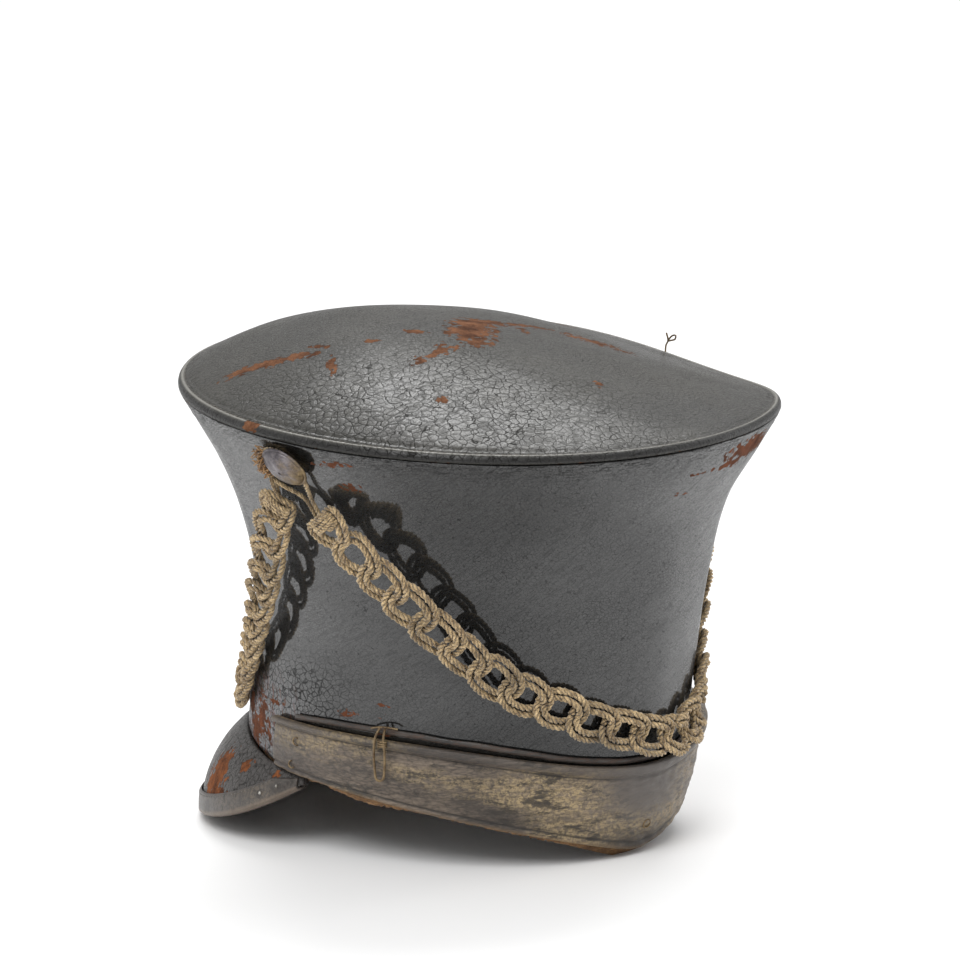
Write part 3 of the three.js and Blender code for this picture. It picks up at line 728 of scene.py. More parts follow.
def twisted_cord_tree():
    """Three strands twisted round each other along each path, in whole thirds of a turn."""
    tree, given, even = path_tree("twisted cord", [
        ("Diameter", "Float", 0.0027), ("Twist Length", "Float", 0.006), ("Spacing", "Float", 0.001),
        ("Unevenness", "Float", 0.001)])
    length = put(tree, "GeometryNodeSplineLength")["Length"]
    thirds = times(tree, calc(tree, "DIVIDE", length, given["Twist Length"]), 3.0)
    turns = times(tree, calc(tree, "ROUND", thirds), 2 * math.pi / 3)
    tilt = times(tree, turns, put(tree, "GeometryNodeSplineParameter")["Factor"])
    tilted = put(tree, "GeometryNodeSetCurveTilt", {"Curve": even, "Tilt": tilt})[0]
    centres = circle(tree, given, 3, STRAND_LAY)
    spots = put(tree, "GeometryNodeCurveToPoints", {"Curve": centres}, mode="EVALUATED")[0]
    three = put(tree, "GeometryNodeInstanceOnPoints", {
        "Points": spots, "Instance": circle(tree, given, 6, STRAND_RADIUS)})[0]
    profile = put(tree, "GeometryNodeRealizeInstances", {"Geometry": three})[0]
    push = jitter(tree, put(tree, "GeometryNodeInputPosition")[0], 620.0, 2.0, given["Unevenness"])
    return end_tree(tree, given, put(tree, "GeometryNodeSetPosition", {
        "Geometry": swept(tree, tilted, profile), "Offset": push})[0])


def round_wire_tree():
    """A round wire along each path, with its ends closed."""
    tree, given, even = path_tree("round wire", [
        ("Diameter", "Float", 0.001), ("Spacing", "Float", 0.001), ("Sides", "Int", 10)])
    return end_tree(tree, given, swept(tree, even, circle(tree, given, given["Sides"], 0.5)))


def row_tree():
    """Small rounded bodies set in a row along each path: stitches, studs or the scallops of a border."""
    tree, given, even = path_tree("row along a path", [
        ("Spacing", "Float", 0.003), ("Length", "Float", 0.002), ("Width", "Float", 0.0006),
        ("Height", "Float", 0.0004), ("Unevenness", "Float", 0.1), ("Seed", "Int", 1)])
    out = put(tree, "GeometryNodeInputNamedAttribute", {"Name": "out"}, data_type="FLOAT_VECTOR")[0]
    stand = put(tree, "FunctionNodeAlignRotationToVector", {"Vector": out}, axis="Z")[0]
    along = put(tree, "FunctionNodeAlignRotationToVector", {
        "Rotation": stand, "Vector": put(tree, "GeometryNodeInputTangent")[0]}, axis="X", pivot_axis="Z")[0]
    size = put(tree, "ShaderNodeCombineXYZ", {0: given["Length"], 1: given["Width"], 2: given["Height"]})[0]
    small = calc(tree, "SUBTRACT", 1.0, given["Unevenness"])
    large = calc(tree, "ADD", 1.0, given["Unevenness"])
    chance = put(tree, "FunctionNodeRandomValue", {
        "Seed": given["Seed"], 2: small, 3: large}, data_type="FLOAT")[1]
    bead = put(tree, "GeometryNodeMeshUVSphere", {"Segments": 8, "Rings": 5, "Radius": 0.5})[0]
    return end_tree(tree, given, put(tree, "GeometryNodeInstanceOnPoints", {
        "Points": even, "Instance": bead, "Rotation": along, "Scale": scaled(tree, size, chance)})[0])


def run_tree(name, path, tree, values):
    """Runs a tree on a mesh of paths and returns the result as a plain mesh piece."""
    source = new_piece(name + "_path", path)
    modifier = source.modifiers.new(tree.name, "NODES")
    modifier.node_group = tree
    for item in tree.interface.items_tree:
        if item.item_type == "SOCKET" and item.in_out == "INPUT" and item.name in values:
            modifier[item.identifier] = values[item.name]
    bpy.context.view_layer.update()
    evaluated = source.evaluated_get(bpy.context.evaluated_depsgraph_get())
    mesh = bpy.data.meshes.new_from_object(evaluated)
    mesh.name = name
    bpy.data.objects.remove(source)
    bpy.data.meshes.remove(path)
    mesh.materials.clear()
    mesh.materials.append(values["Material"])
    piece = new_piece(name, mesh)
    mesh.shade_smooth()
    return piece


def path_mesh(name, lines, closed=False, outs=None):
    """Paths as a mesh of edges. Outs are the outward directions that the instances stand on."""
    points, edges = [], []
    for line in lines:
        first = len(points)
        points += [tuple(map(float, p)) for p in line]
        edges += [(first + i, first + i + 1) for i in range(len(line) - 1)]
        if closed:
            edges.append((first + len(line) - 1, first))
    mesh = bpy.data.meshes.new(name)
    mesh.from_pydata(points, edges, [])
    if outs is not None:
        field = mesh.attributes.new("out", "FLOAT_VECTOR", "POINT")
        field.data.foreach_set("vector", np.asarray(outs, np.float32).ravel())
    return mesh


# Plaits.


def plait_offset(angle, height):
    hanging = np.clip((height - PLAIT_HANG_LOW) / (PLAIT_HANG_HIGH - PLAIT_HANG_LOW), 0, 1)
    over_hem = HEM_ROLL + HEM_FULLNESS + 2 * PIECE_GAP - PLAIT_CLEARANCE
    hem_top = STRAP_TOP - STRAP_TOP_DIP
    near_hem = 1 - smooth_step(hem_top, hem_top + HEM_EASE, height)
    resting = np.where(np.abs(angle) < BAND_END_ANGLE, (over_hem + gape(angle)) * near_hem, 0)
    return PLAIT_CLEARANCE + PLAIT_HANG * np.sin(math.pi * hanging) + resting


def festoon(plait, shares, rises):
    """Turns a place along a plait, across it and off the crown into a point. Returns that and its length."""
    side = np.linspace(-1, 1, 241)
    angle = plait["centre"] + side * plait["end"] + plait["sway"] * (1 - side**2) ** 1.5
    height = plait["low"] + (plait["top"] - plait["low"]) * follow(shares, rises, np.abs(side))
    places = crown_point(angle, height, plait_offset(angle, height))
    steps = np.linalg.norm(np.diff(places, axis=0), axis=1)
    lengths = np.concatenate([[0], np.cumsum(steps)])
    slopes = np.gradient(height, lengths)
    radius = (WAIST_WIDTH + WAIST_LENGTH) / 4

    def at(along, across, lift):
        here = np.interp(along, lengths, angle)
        level_here = np.interp(along, lengths, height)
        slope = np.clip(np.interp(along, lengths, slopes), -1, 1)
        turned = here - np.degrees(across * slope / radius)
        raised = level_here + across * np.sqrt(1 - slope * slope)
        offset = plait_offset(turned, np.minimum(raised, level_here))
        point = crown_point(turned, raised, offset + PLAIT_THICKNESS / 2)
        return point + crown_normal(turned, raised) * np.asarray(lift)[..., None]

    return at, lengths[-1]


def cord_links(plait, shares, rises, seed):
    """The path of each cord of a plait: every link is two cords side by side round an oval, passing over
    the next link on one side and under it on the other."""
    chance = np.random.default_rng(seed)
    at, total = festoon(plait, shares, rises)
    count = round(total / PLAIT_PITCH)
    pitch = total / count
    turn = np.linspace(0, 2 * math.pi, 56, endpoint=False)
    lines = []
    for link in range(count):
        middle = (link + 0.5) * pitch + chance.uniform(-0.0005, 0.0005)
        fit = chance.uniform(0.94, 1.04)
        sway = chance.uniform(-0.0005, 0.0005)
        for ring, (length, width) in enumerate((OUTER_RING, INNER_RING)):
            reach = length if 0 < link < count - 1 else length * 0.86
            along = middle + reach * fit * np.sign(np.cos(turn)) * np.abs(np.cos(turn)) ** 0.85
            across = width * fit * np.sign(np.sin(turn)) * np.abs(np.sin(turn)) ** 0.85
            across = across + sway + 0.0003 * np.sin(3 * turn + link)
            lift = -0.0015 * np.sin(2 * turn) + (0.0003 if ring else -0.0001)
            lines.append(at(np.clip(along, 0.0006, total - 0.0006), across, lift))
    knots = []
    for end, inward in ((0.0035, 1), (total - 0.0035, -1)):
        spin = np.linspace(0, 2 * math.pi * 3.2, 60)
        creep = np.linspace(-0.0026, 0.0034, 60)
        knots.append(at(end + inward * creep, 0.0052 * np.cos(spin), 0.0022 * np.sin(spin) + 0.0006))
    return lines, knots


def cord_piece(name, lines, closed, diameter, material):
    values = {"Diameter": diameter, "Twist Length": diameter * 2.5, "Spacing": diameter * 0.26,
              "Unevenness": diameter * 0.42, "Material": material}
    return run_tree(name, path_mesh(name, lines, closed), TWISTED_CORD, values)


def wire_piece(name, lines, diameter, material, spacing=0.0008):
    values = {"Diameter": diameter, "Spacing": spacing, "Material": material}
    return run_tree(name, path_mesh(name, lines), ROUND_WIRE, values)


def row_piece(name, line, outs, values):
    return run_tree(name, path_mesh(name, [line], outs=outs), ROW, values)


def joined(name, pieces):
    """One piece from several, each keeping its material."""
    work = bmesh.new()
    mesh = bpy.data.meshes.new(name)
    for piece in pieces:
        for material in piece.data.materials:
            if material.name not in mesh.materials:
                mesh.materials.append(material)
        first = len(work.faces)
        work.from_mesh(piece.data)
        work.faces.ensure_lookup_table()
        places = [mesh.materials.find(m.name) for m in piece.data.materials]
        for face in work.faces[first:]:
            face.material_index = places[face.material_index]
    work.to_mesh(mesh)
    work.free()
    for piece in pieces:
        old = piece.data
        bpy.data.objects.remove(piece)
        bpy.data.meshes.remove(old)
    mesh.shade_smooth()
    return new_piece(name, mesh)


def smooth_line(points, count=80):
    """A smooth path through chosen points."""
    points = np.asarray(points)
    steps = np.sqrt(np.linalg.norm(np.diff(points, axis=0), axis=1))
    knots = np.concatenate([[0], np.cumsum(steps)])
    knots = knots / knots[-1]
    at = np.linspace(0, 1, count)
    return np.stack([follow(knots, points[:, k], at) for k in range(3)], -1)


# Button, hanger cords, loops, wire, hooks and plate.


def button_seat(angle):
    height = rim_edge(angle) - BUTTON_BELOW_RIM
    return crown_point(angle, height), crown_normal(angle, height)


def beside_seat(side, across, up, out):
    """A place beside the button's seat: across towards the back, up the slope, and out."""
    place, normal = button_seat(side * BUTTON_ANGLE)
    back = np.array([0.0, 1.0, 0.0])
    slope = -side * np.cross(back, normal)
    slope = slope / np.linalg.norm(slope)
    return place + back * across + slope * up + normal * out


def side_button():
    place, normal = button_seat(BUTTON_ANGLE)
    turn = Vector((0, 0, 1)).rotation_difference(Vector(normal)).to_matrix()
    face = np.radians(np.linspace(90, 0, 22))
    base = BUTTON_STAND_OFF
    edge = [
        (BUTTON_RADIUS - 0.0006, base), (BUTTON_RADIUS - 0.0001, base + 0.0002),
        (BUTTON_RADIUS, base + 0.0006), (BUTTON_RADIUS - 0.0002, base + BUTTON_EDGE), (BUTTON_RADIUS - 0.0008, base + BUTTON_EDGE + 0.0001)]
    level, reach = base + BUTTON_EDGE, BUTTON_RADIUS - 0.001
    dome = [(reach * math.sin(a), level + BUTTON_DOME * math.cos(a)) for a in face]
    shank = [
        (0, PIECE_GAP), (SHANK_RADIUS, PIECE_GAP), (SHANK_RADIUS, base - 0.0002), (SHANK_RADIUS + 0.0004, base)]
    profile = shank + edge + dome[:-1] + [(0, base + BUTTON_EDGE + BUTTON_DOME)]
    columns = 64
    around = np.linspace(0, 2 * math.pi, columns, endpoint=False)[:, None]
    radius = np.array([p[0] for p in profile])[None, :]
    level = np.array([p[1] for p in profile])[None, :]
    dent = 0.00012 * ripple(81, 2 * around, radius * 60, 9) * (level > base + BUTTON_EDGE)
    local = np.stack([radius * np.cos(around), radius * np.sin(around), level + dent + 0 * around], -1)
    turned = local @ np.array(turn).T
    grid = turned + place
    number = np.arange(columns * len(profile)).reshape(columns, -1)
    right = np.roll(number, -1, axis=0)
    faces = np.stack([number[:, :-1], right[:, :-1], right[:, 1:], number[:, 1:]], -1).reshape(-1, 4)
    mesh = bpy.data.meshes.new("side_button")
    mesh.from_pydata(grid.reshape(-1, 3).tolist(), [], faces.tolist())
    add_field(mesh, "gilt", turned[..., 1] * 55 - turned[..., 2] * 60)
    merge_points(mesh, 1e-6, outward=True)
    return new_piece("domed_button", mesh)


# Places of the hanging cords: angle, height and distance from the wall.
HANGER_PLACES = [
    (84.9, 0.153, 0.0048), (85.6, 0.1585, 0.0046), (86.6, 0.1622, 0.0036), (88.8, 0.1651, 0.003),
    (92, 0.1675, 0.0028), (94.6, 0.1716, 0.0028), (95.2, 0.1772, 0.0026), (94.0, 0.1826, 0.0018),
    (91.0, 0.1856, 0.0013), (88.0, 0.1843, 0.0013), (86.9, 0.1816, 0.0013), (86.2, 0.179, 0.0014),
    (85.2, 0.1752, 0.0028), (84.7, 0.1702, 0.0034), (84.9, 0.164, 0.0038), (84.3, 0.1585, 0.0046),
    (84.0, 0.153, 0.0048)]
LOOP_PLACES = [
    (93.4, 0.1555, 0.0066), (93.6, 0.162, 0.0062), (93.8, 0.1668, 0.0055), (94.1, 0.1696, 0.0042),
    (94.6, 0.1704, 0.0026), (95.3, 0.1692, 0.0011), (95.7, 0.1655, 0.001), (95.8, 0.161, 0.0022),
    (95.4, 0.1555, 0.0034)]


def hung_point(side, angle, height, offset):
    """A place of the hanging cords. On the right, where the rim sags, their upper parts hang lower too."""
    lower = (rim_edge(angle) - rim_edge(side * angle)) * smooth_step(0.153, 0.18, height)
    return crown_point(side * angle, height - lower, offset)


def hanger_line(side):
    """The cord that hangs the rear plait on the button, round its shank."""
    return smooth_line([hung_point(side, *place) for place in HANGER_PLACES], 140)


def loop_line(side):
    """The small loop that hangs the front plait on the hanger cord."""
    return smooth_line([hung_point(side, *place) for place in LOOP_PLACES], 80)


def bare_wire_lines():
    """The wire left in the right side: it stands past the rim and forks into an end and a small loop."""
    side = -1
    clear = SHANK_WIRE / 2 + 0.001
    angle = side * BUTTON_ANGLE
    level = rim_edge(angle)

    def rim(across, up, out):
        return crown_point(angle, level, clear + out) + np.array([0, across, up])

    main = smooth_line([
        beside_seat(side, 0, 0, SHANK_WIRE / 2 + PIECE_GAP),
        beside_seat(side, -0.001, -0.0005, HANGER_CORD + 0.0012),
        beside_seat(side, -0.007, 0.0005, 0.0034),
        beside_seat(side, -0.0115, 0.004, 0.0034),
        rim(-0.0136, -0.002, 0.0006),
        rim(-0.0134, 0.0035, 0),
        rim(-0.0124, 0.0078, -0.0006),
        rim(-0.0109, 0.0102, -0.0008),
        rim(-0.0115, 0.0136, -0.001),
    ])
    loop = smooth_line([
        rim(-0.0109, 0.0102, -0.0008), rim(-0.0084, 0.0124, -0.001), rim(-0.006, 0.0129, -0.0012),
        rim(-0.0064, 0.0112, -0.0012), rim(-0.0088, 0.0104, -0.001), rim(-0.0112, 0.0098, -0.0008)], 40)
    return [main, loop]


def hook_line(side):
    angle = side * HOOK_ANGLE
    staple = strap_top_edge(angle) + 0.001
    radius = crown_point(90, staple)[0]
    off = HEM_ROLL + HEM_FULLNESS + 2 * PIECE_GAP + HOOK_WIRE / 2
    half = HOOK_WIDTH / 2
    low = staple - strap_top_edge(angle) + STRAP_HEIGHT + HOOK_LENGTH
    near = STRAP_THICKNESS + PIECE_GAP + HOOK_WIRE

    def at(across, down, offset):
        return crown_point(angle + math.degrees(across / radius), staple - down, offset)

    return smooth_line([
        at(half * 0.7, 0, near), at(half, 0.004, off), at(half * 1.1, low * 0.45, off),
        at(half * 0.7, low * 0.8, off), at(half * 0.3, low * 0.97, off), at(-half * 0.3, low, off),
        at(-half * 0.9, low * 0.95, off), at(-half, low * 0.8, off), at(-half * 0.8, low * 0.45, off),
        at(-half * 0.4, 0.005, off), at(-half * 0.2, 0, near)], 90)


def staple_lines(side):
    """The wire turned round the strap and twisted below it, that holds a hook."""
    angle = side * HOOK_ANGLE
    top = strap_top_edge(angle)
    turns = np.linspace(0, 2 * math.pi * 3, 60)
    down = 0.0045 + turns * 0.00016
    coil = crown_point(angle + np.cos(turns) - 0.3, top - down, 0.0048 + 0.0009 * np.sin(turns))
    arm = [crown_point(angle + turned, top + rise, 0.0031 + out) for turned, rise, out in (
        (-3.4, 0.0006, -0.0008), (-1.6, 0.0012, 0.0002), (0.4, 0.0013, 0.0004), (2.4, 0.0007, 0.0),
        (3.6, 0.0, -0.0008))]
    return [coil, smooth_line(arm, 30)]


def plate_point(share, side, lift):
    """Points of the front plate: a share down its height, a place between its two edges, and an offset."""
    share, side, lift = np.broadcast_arrays(np.asarray(share, float), side, lift)
    height = PLATE_TOP - PLATE_HEIGHT * share
    radius = RIM_SHIFT - (crown_point(180, height) - SHIFT)[..., 1]
    half = PLATE_WIDTH / 2 * follow(PLATE_SHARES, PLATE_WIDTHS, share)
    return crown_point(180 + np.degrees(side * half / radius), height, PLATE_STAND_OFF + lift)


def front_plate():
    shares, fullness = rounded_rows(40, 0.01)
    side = np.linspace(-1, 1, 90)[:, None]
    edge = np.minimum(np.minimum(1 - np.abs(side), shares * 1.1), 1 - shares)
    raised = 0.0006 * hump(edge, 0.07, 0.03)
    dish = 0.0004 * smooth_step(0.08, 0.3, edge)
    outer = plate_point(shares, side, PLATE_THICKNESS * (0.5 + 0.5 * fullness) + raised + dish)
    inner = plate_point(shares, side, PLATE_THICKNESS * 0.5 * (1 - fullness))
    return shell("shield_plate", outer, inner, False)


def plate_border():
    """The line of the scalloped border, just inside the plate's edge, with its outward directions."""
    down = np.linspace(0.03, 0.985, 60)
    across = np.linspace(-0.965, 0.965, 50)
    line = np.concatenate([
        plate_point(down[::-1], -0.965, PLATE_THICKNESS + 0.0004),
        plate_point(0.02, across, PLATE_THICKNESS + 0.0004),
        plate_point(down, 0.965, PLATE_THICKNESS + 0.0004)])
    outs = line - (np.array([0, RIM_SHIFT, 0]) + SHIFT)
    outs[:, 2] = -0.01
    return line, outs / np.linalg.norm(outs, axis=1, keepdims=True)


def tuft_lines():
    """Frayed ends of thread that stand out beside the button."""
    chance = np.random.default_rng(12)
    lines = []
    for _ in range(110):
        across = -BUTTON_RADIUS * chance.uniform(0.8, 1.02)
        start = beside_seat(1, across, chance.uniform(-0.0045, 0.005), 0.002)
        lean = np.array([chance.uniform(0.1, 0.8), chance.uniform(-1.0, -0.2), chance.uniform(-1.0, 0.8)])
        lean = lean / np.linalg.norm(lean) * chance.uniform(0.003, 0.0064)
        bend = chance.normal(0, 0.0011, 3)
        lines.append(smooth_line([start, start + lean * 0.5 + bend, start + lean], 7))
    return lines


# Shader node groups.


def crackle_group():
    """Old varnish broken into cells: a network of cracks, their depth, and a value for each cell."""
    group, given = new_tree("ShaderNodeTree", "varnish crackle", [
        ("Vector", "Vector", None), ("Scale", "Float", 300.0), ("Crack Width", "Float", 0.08),
        ("Warp", "Float", 0.0012)], [("Cracks", "Float"), ("Height", "Float"), ("Cell", "Float")])
    place = given["Vector"]
    push = jitter(group, place, 190.0, 3.0, given["Warp"])
    warped = put(group, "ShaderNodeVectorMath", {0: place, 1: push}, operation="ADD")[0]
    edge = cells(group, warped, given["Scale"], "DISTANCE_TO_EDGE")["Distance"]
    tone = red_of(group, cells(group, warped, given["Scale"], "F1")["Color"])
    width = times(group, given["Crack Width"], noise(group, place, 34.0, 2.0)["Fac"])
    fine = cells(group, warped, times(group, given["Scale"], 2.7), "DISTANCE_TO_EDGE")["Distance"]
    fine_cracks = ranged(group, fine, 0, width, 0.45, 0)
    cracks = calc(group, "MAXIMUM", ranged(group, edge, 0, width, 1, 0), fine_cracks)
    height = calc(group, "SUBTRACT", ranged(group, edge, 0, 0.35, 0, 0.5), cracks)
    put(group, "NodeGroupOutput", {"Cracks": cracks, "Height": height, "Cell": tone})
    return group


def bare_group():
    """Where a finish has come off: a soft mark made ragged, its mask and its torn edge."""
    group, given = new_tree("ShaderNodeTree", "bare places", [
        ("Vector", "Vector", None), ("Mark", "Float", 0.0), ("Cracks", "Float", 0.0),
        ("Grain", "Float", 420.0), ("Raggedness", "Float", 1.0)], [("Mask", "Float"), ("Edge", "Float")])
    place = given["Vector"]
    fine = noise(group, place, given["Grain"], 5.0, 0.65)["Fac"]
    flake = red_of(group, cells(group, place, given["Grain"], "F1")["Color"])
    centred = calc(group, "SUBTRACT", calc(group, "ADD", fine, flake), 1.0)
    total = calc(group, "ADD", given["Mark"], times(group, centred, given["Raggedness"]))
    both = calc(group, "ADD", total, times(group, given["Cracks"], 0.18))
    mask = ranged(group, both, 0.46, 0.56, way="SMOOTHSTEP")
    edge = calc(group, "SUBTRACT", ranged(group, both, 0.28, 0.46, way="SMOOTHSTEP"), mask)
    put(group, "NodeGroupOutput", {"Mask": mask, "Edge": edge})
    return group


def mottle_group():
    """Two colours mixed in soft clouds and fine specks."""
    group, given = new_tree("ShaderNodeTree", "mottled colour", [
        ("Vector", "Vector", None), ("Dark", "Color", (0.03, 0.03, 0.03, 1)),
        ("Light", "Color", (0.1, 0.1, 0.1, 1)), ("Cloud Scale", "Float", 18.0),
        ("Speck Scale", "Float", 900.0), ("Specks", "Float", 0.3),
    ], [("Color", "Color"), ("Amount", "Float")])
    cloud = noise(group, given["Vector"], given["Cloud Scale"], 5.0, 0.6)["Fac"]
    speck = noise(group, given["Vector"], given["Speck Scale"], 2.0)["Fac"]
    specks = times(group, calc(group, "SUBTRACT", speck, 0.5), given["Specks"])
    amount = calc(group, "ADD", ranged(group, cloud, 0.32, 0.68), specks, use_clamp=True)
    mixed = blend_colour(group, amount, given["Dark"], given["Light"])
    put(group, "NodeGroupOutput", {"Color": mixed, "Amount": amount})
    return group


def creases_group():
    """Long fine wrinkles, drawn out along one direction by the vector's own scale."""
    group, given = new_tree("ShaderNodeTree", "fine creases", [
        ("Vector", "Vector", None), ("Scale", "Float", 1.0), ("Sharpness", "Float", 0.1),
    ], [("Height", "Float"), ("Lines", "Float")])
    waves = noise(group, given["Vector"], given["Scale"], 6.0, 0.6, 0.6)["Fac"]
    size = calc(group, "ABSOLUTE", calc(group, "SUBTRACT", waves, 0.5))
    lines = ranged(group, size, 0, given["Sharpness"], 1, 0)
    put(group, "NodeGroupOutput", {"Height": calc(group, "SUBTRACT", waves, lines), "Lines": lines})
    return group


def place_group(tree, group, inputs):
    return put(tree, "ShaderNodeGroup", inputs, node_tree=group)


def mottled(tree, place, dark, light, clouds, specks, strength):
    """The mottled colour group, with the number per metre of its clouds and its specks."""
    return place_group(tree, MOTTLE, {
        "Vector": place, "Dark": dark, "Light": light, "Cloud Scale": clouds, "Speck Scale": specks,
        "Specks": strength})


def crackled(tree, place, scale, width, warp):
    return place_group(tree, CRACKLE, {"Vector": place, "Scale": scale, "Crack Width": width, "Warp": warp})


def creased(tree, vector, sharpness):
    return place_group(tree, CREASES, {"Vector": vector, "Scale": 1.0, "Sharpness": sharpness})


# Materials.


def new_material(name):
    material = bpy.data.materials.new(name)
    material.use_nodes = True
    return material, material.node_tree


def finish_material(material, inputs):
    fill(material.node_tree, material.node_tree.nodes["Principled BSDF"], inputs)
    return material


def object_vector(tree, stretch=(1, 1, 1)):
    place = put(tree, "ShaderNodeTexCoord")["Object"]
    if stretch == (1, 1, 1):
        return place
    return put(tree, "ShaderNodeMapping", {"Vector": place, "Scale": stretch})[0]


def slanting_vector(tree, scales):
    """Coordinates that run up the crown's right side at a slant: along the slant, across it and outwards."""
    place = object_vector(tree)
    axes = ((-0.56, 0.6, 0.57), (0.39, -0.42, 0.82), (0.73, 0.68, 0))
    parts = []
    for axis in axes:
        parts.append(put(tree, "ShaderNodeVectorMath", {0: place, 1: axis}, operation="DOT_PRODUCT")["Value"])
    return put(tree, "ShaderNodeCombineXYZ", {k: times(tree, parts[k], scales[k]) for k in range(3)})[0]


def field_value(tree, name):
    return put(tree, "ShaderNodeAttribute", attribute_name=name)["Fac"]


def blend_colour(tree, amount, first, second):
    return put(tree, "ShaderNodeMix", {0: amount, 6: first, 7: second}, data_type="RGBA")[2]


def tinted(tree, colour, amount, most, tint):
    """A colour with another laid over it, by an amount times its most."""
    return blend_colour(tree, times(tree, amount, most), colour, tint)


def mixed_value(tree, amount, first, second):
    return put(tree, "ShaderNodeMix", {0: amount, 2: first, 3: second}, data_type="FLOAT")[0]


def bumped(tree, height, strength, distance, normal=None):
    inputs = {"Height": height, "Strength": strength, "Distance": distance}
    if normal is not None:
        inputs["Normal"] = normal
    return put(tree, "ShaderNodeBump", inputs)[0]


def patent_leather(name, look, tones, extra=None):
    """Black patent leather with a cracked varnish, worn through to red-brown hide in places. The look has the
    number of cells per metre and the width of their cracks, fine and coarse, how strongly cracks and creases
    show, and how the varnish shines. The tones are the ground's dark and light, the cracks and the hide."""
    material, tree = new_material(name)
    place = object_vector(tree)
    drawn = object_vector(tree, look["stretch"])
    fine = crackled(tree, drawn, look["cells"], look["crack"], 0.0011)
    large = crackled(tree, drawn, look["coarse_cells"], look["coarse_crack"], 0.0025)
    coarse = field_value(tree, "coarse")
    cracks = mixed_value(tree, coarse, times(tree, fine["Cracks"], look["crack_strength"]), large["Cracks"])
    height = mixed_value(tree, coarse, fine["Height"], times(tree, large["Height"], 2.2))
    tone = mixed_value(tree, coarse, fine["Cell"], large["Cell"])
    creases = creased(tree, object_vector(tree, look["crease_stretch"]), 0.03)
    rim = calc(tree, "ADD", times(tree, field_value(tree, "near_rim"), look["rim_creases"]), 0.2)
    slanting = creased(tree, slanting_vector(tree, (60, 560, 60)), 0.028)
    slant_lines = times(tree, slanting["Lines"], look["slanting"])
    lines = calc(tree, "MAXIMUM", times(tree, creases["Lines"], rim), slant_lines)
    dark = calc(tree, "MAXIMUM", cracks, lines)
    ground = mottled(tree, place, tones[0], tones[1], 22.0, 1100.0, 0.5)
    ragged = place_group(tree, BARE, {
        "Vector": drawn, "Mark": field_value(tree, "bare"), "Cracks": cracks, "Grain": 420.0,
        "Raggedness": 1.15})
    hide = mottled(tree, place, HIDE_DARK, tones[3], 140.0, 1500.0, 1.0)
    lit = scaled(tree, ground["Color"], ranged(tree, tone, 0, 1, 0.85, 1.15))
    varnish = blend_colour(tree, dark, lit, tones[2])
    bare = ragged["Mask"]
    if extra is not None:
        varnish, bare = extra(tree, varnish, bare, large)
    varnish = tinted(tree, varnish, ragged["Edge"], 0.6, (0.008, 0.006, 0.005, 1))
    cloud = ranged(tree, ground["Amount"], 0, 1, look["smooth"], look["rough"])
    cracked = calc(tree, "ADD", cloud, times(tree, dark, 0.3))
    shine = times(tree, calc(tree, "SUBTRACT", 1.0, bare), ranged(tree, dark, 0, 0.85, 1.0, 0.08))
    facing = put(tree, "ShaderNodeLayerWeight", {"Blend": 0.5})["Facing"]
    shine = times(tree, shine, ranged(tree, facing, 0.5, 0.85, 1.0, look["grazing"]))
    first = bumped(tree, height, look["cell_bump"], 0.00025)
    wrinkled = calc(tree, "ADD", creases["Height"], times(tree, slanting["Height"], look["slanting"] * 2))
    second = bumped(tree, wrinkled, look["crease_bump"], 0.0005, first)
    return finish_material(material, {
        "Base Color": blend_colour(tree, bare, varnish, hide["Color"]),
        "Roughness": mixed_value(tree, bare, cracked, 0.8),
        "Coat Weight": times(tree, shine, look["coat"]),
        "Coat Roughness": look["coat_rough"],
        "Coat IOR": look["coat_ior"],
        "Specular IOR Level": ranged(tree, shine, 0, 1, 0.05, look["specular"]),
        "Normal": bumped(tree, times(tree, bare, -1.0), 0.8, 0.00025, second)})


def wall_wear_and_painted_light(tree, varnish, bare, large):
    """Under the rim the wall is painted darker, as painted shade. Low at the front its varnish has curled off
    in upright flakes, and beside them the colour is painted pale lilac as a painted highlight of glints on the
    curled edges.
    """
    # Painted shade under the rim.
    varnish = tinted(tree, varnish, field_value(tree, "near_rim"), 0.4, PAINTED_SHADE_BLACK)
    flaking = field_value(tree, "flaking")
    streaks = noise(tree, object_vector(tree, (620, 620, 150)), 1.0, 5.0, 0.7)["Fac"]
    off = times(tree, ranged(tree, streaks, 0.53, 0.6), flaking)
    # Pale lilac beside the flakes: a painted highlight of glints on the curled varnish.
    beside = times(tree, ranged(tree, streaks, 0.475, 0.51), ranged(tree, large["Cell"], 0.3, 0.6))
    varnish = tinted(tree, varnish, times(tree, beside, flaking), 0.6, (0.2, 0.185, 0.215, 1))
    return varnish, calc(tree, "MAXIMUM", bare, off)


def top_painted_light(tree, varnish, bare, large):
    """The top is painted pale along its seam as a painted highlight on the welt, and painted dark round its
    edge as painted shade.
    """
    rim = field_value(tree, "near_rim")
    # Painted highlight: the colour is made pale along the welt inside the seam.
    varnish = blend_colour(tree, ranged(tree, rim, 0.1, 1, 0, 0.85), varnish, (0.24, 0.232, 0.208, 1))
    # Painted shade: the colour is made near black round the very edge.
    return blend_colour(tree, ranged(tree, rim, -0.1, -0.7, 0, 0.95), varnish, PAINTED_SHADE_BLACK), bare


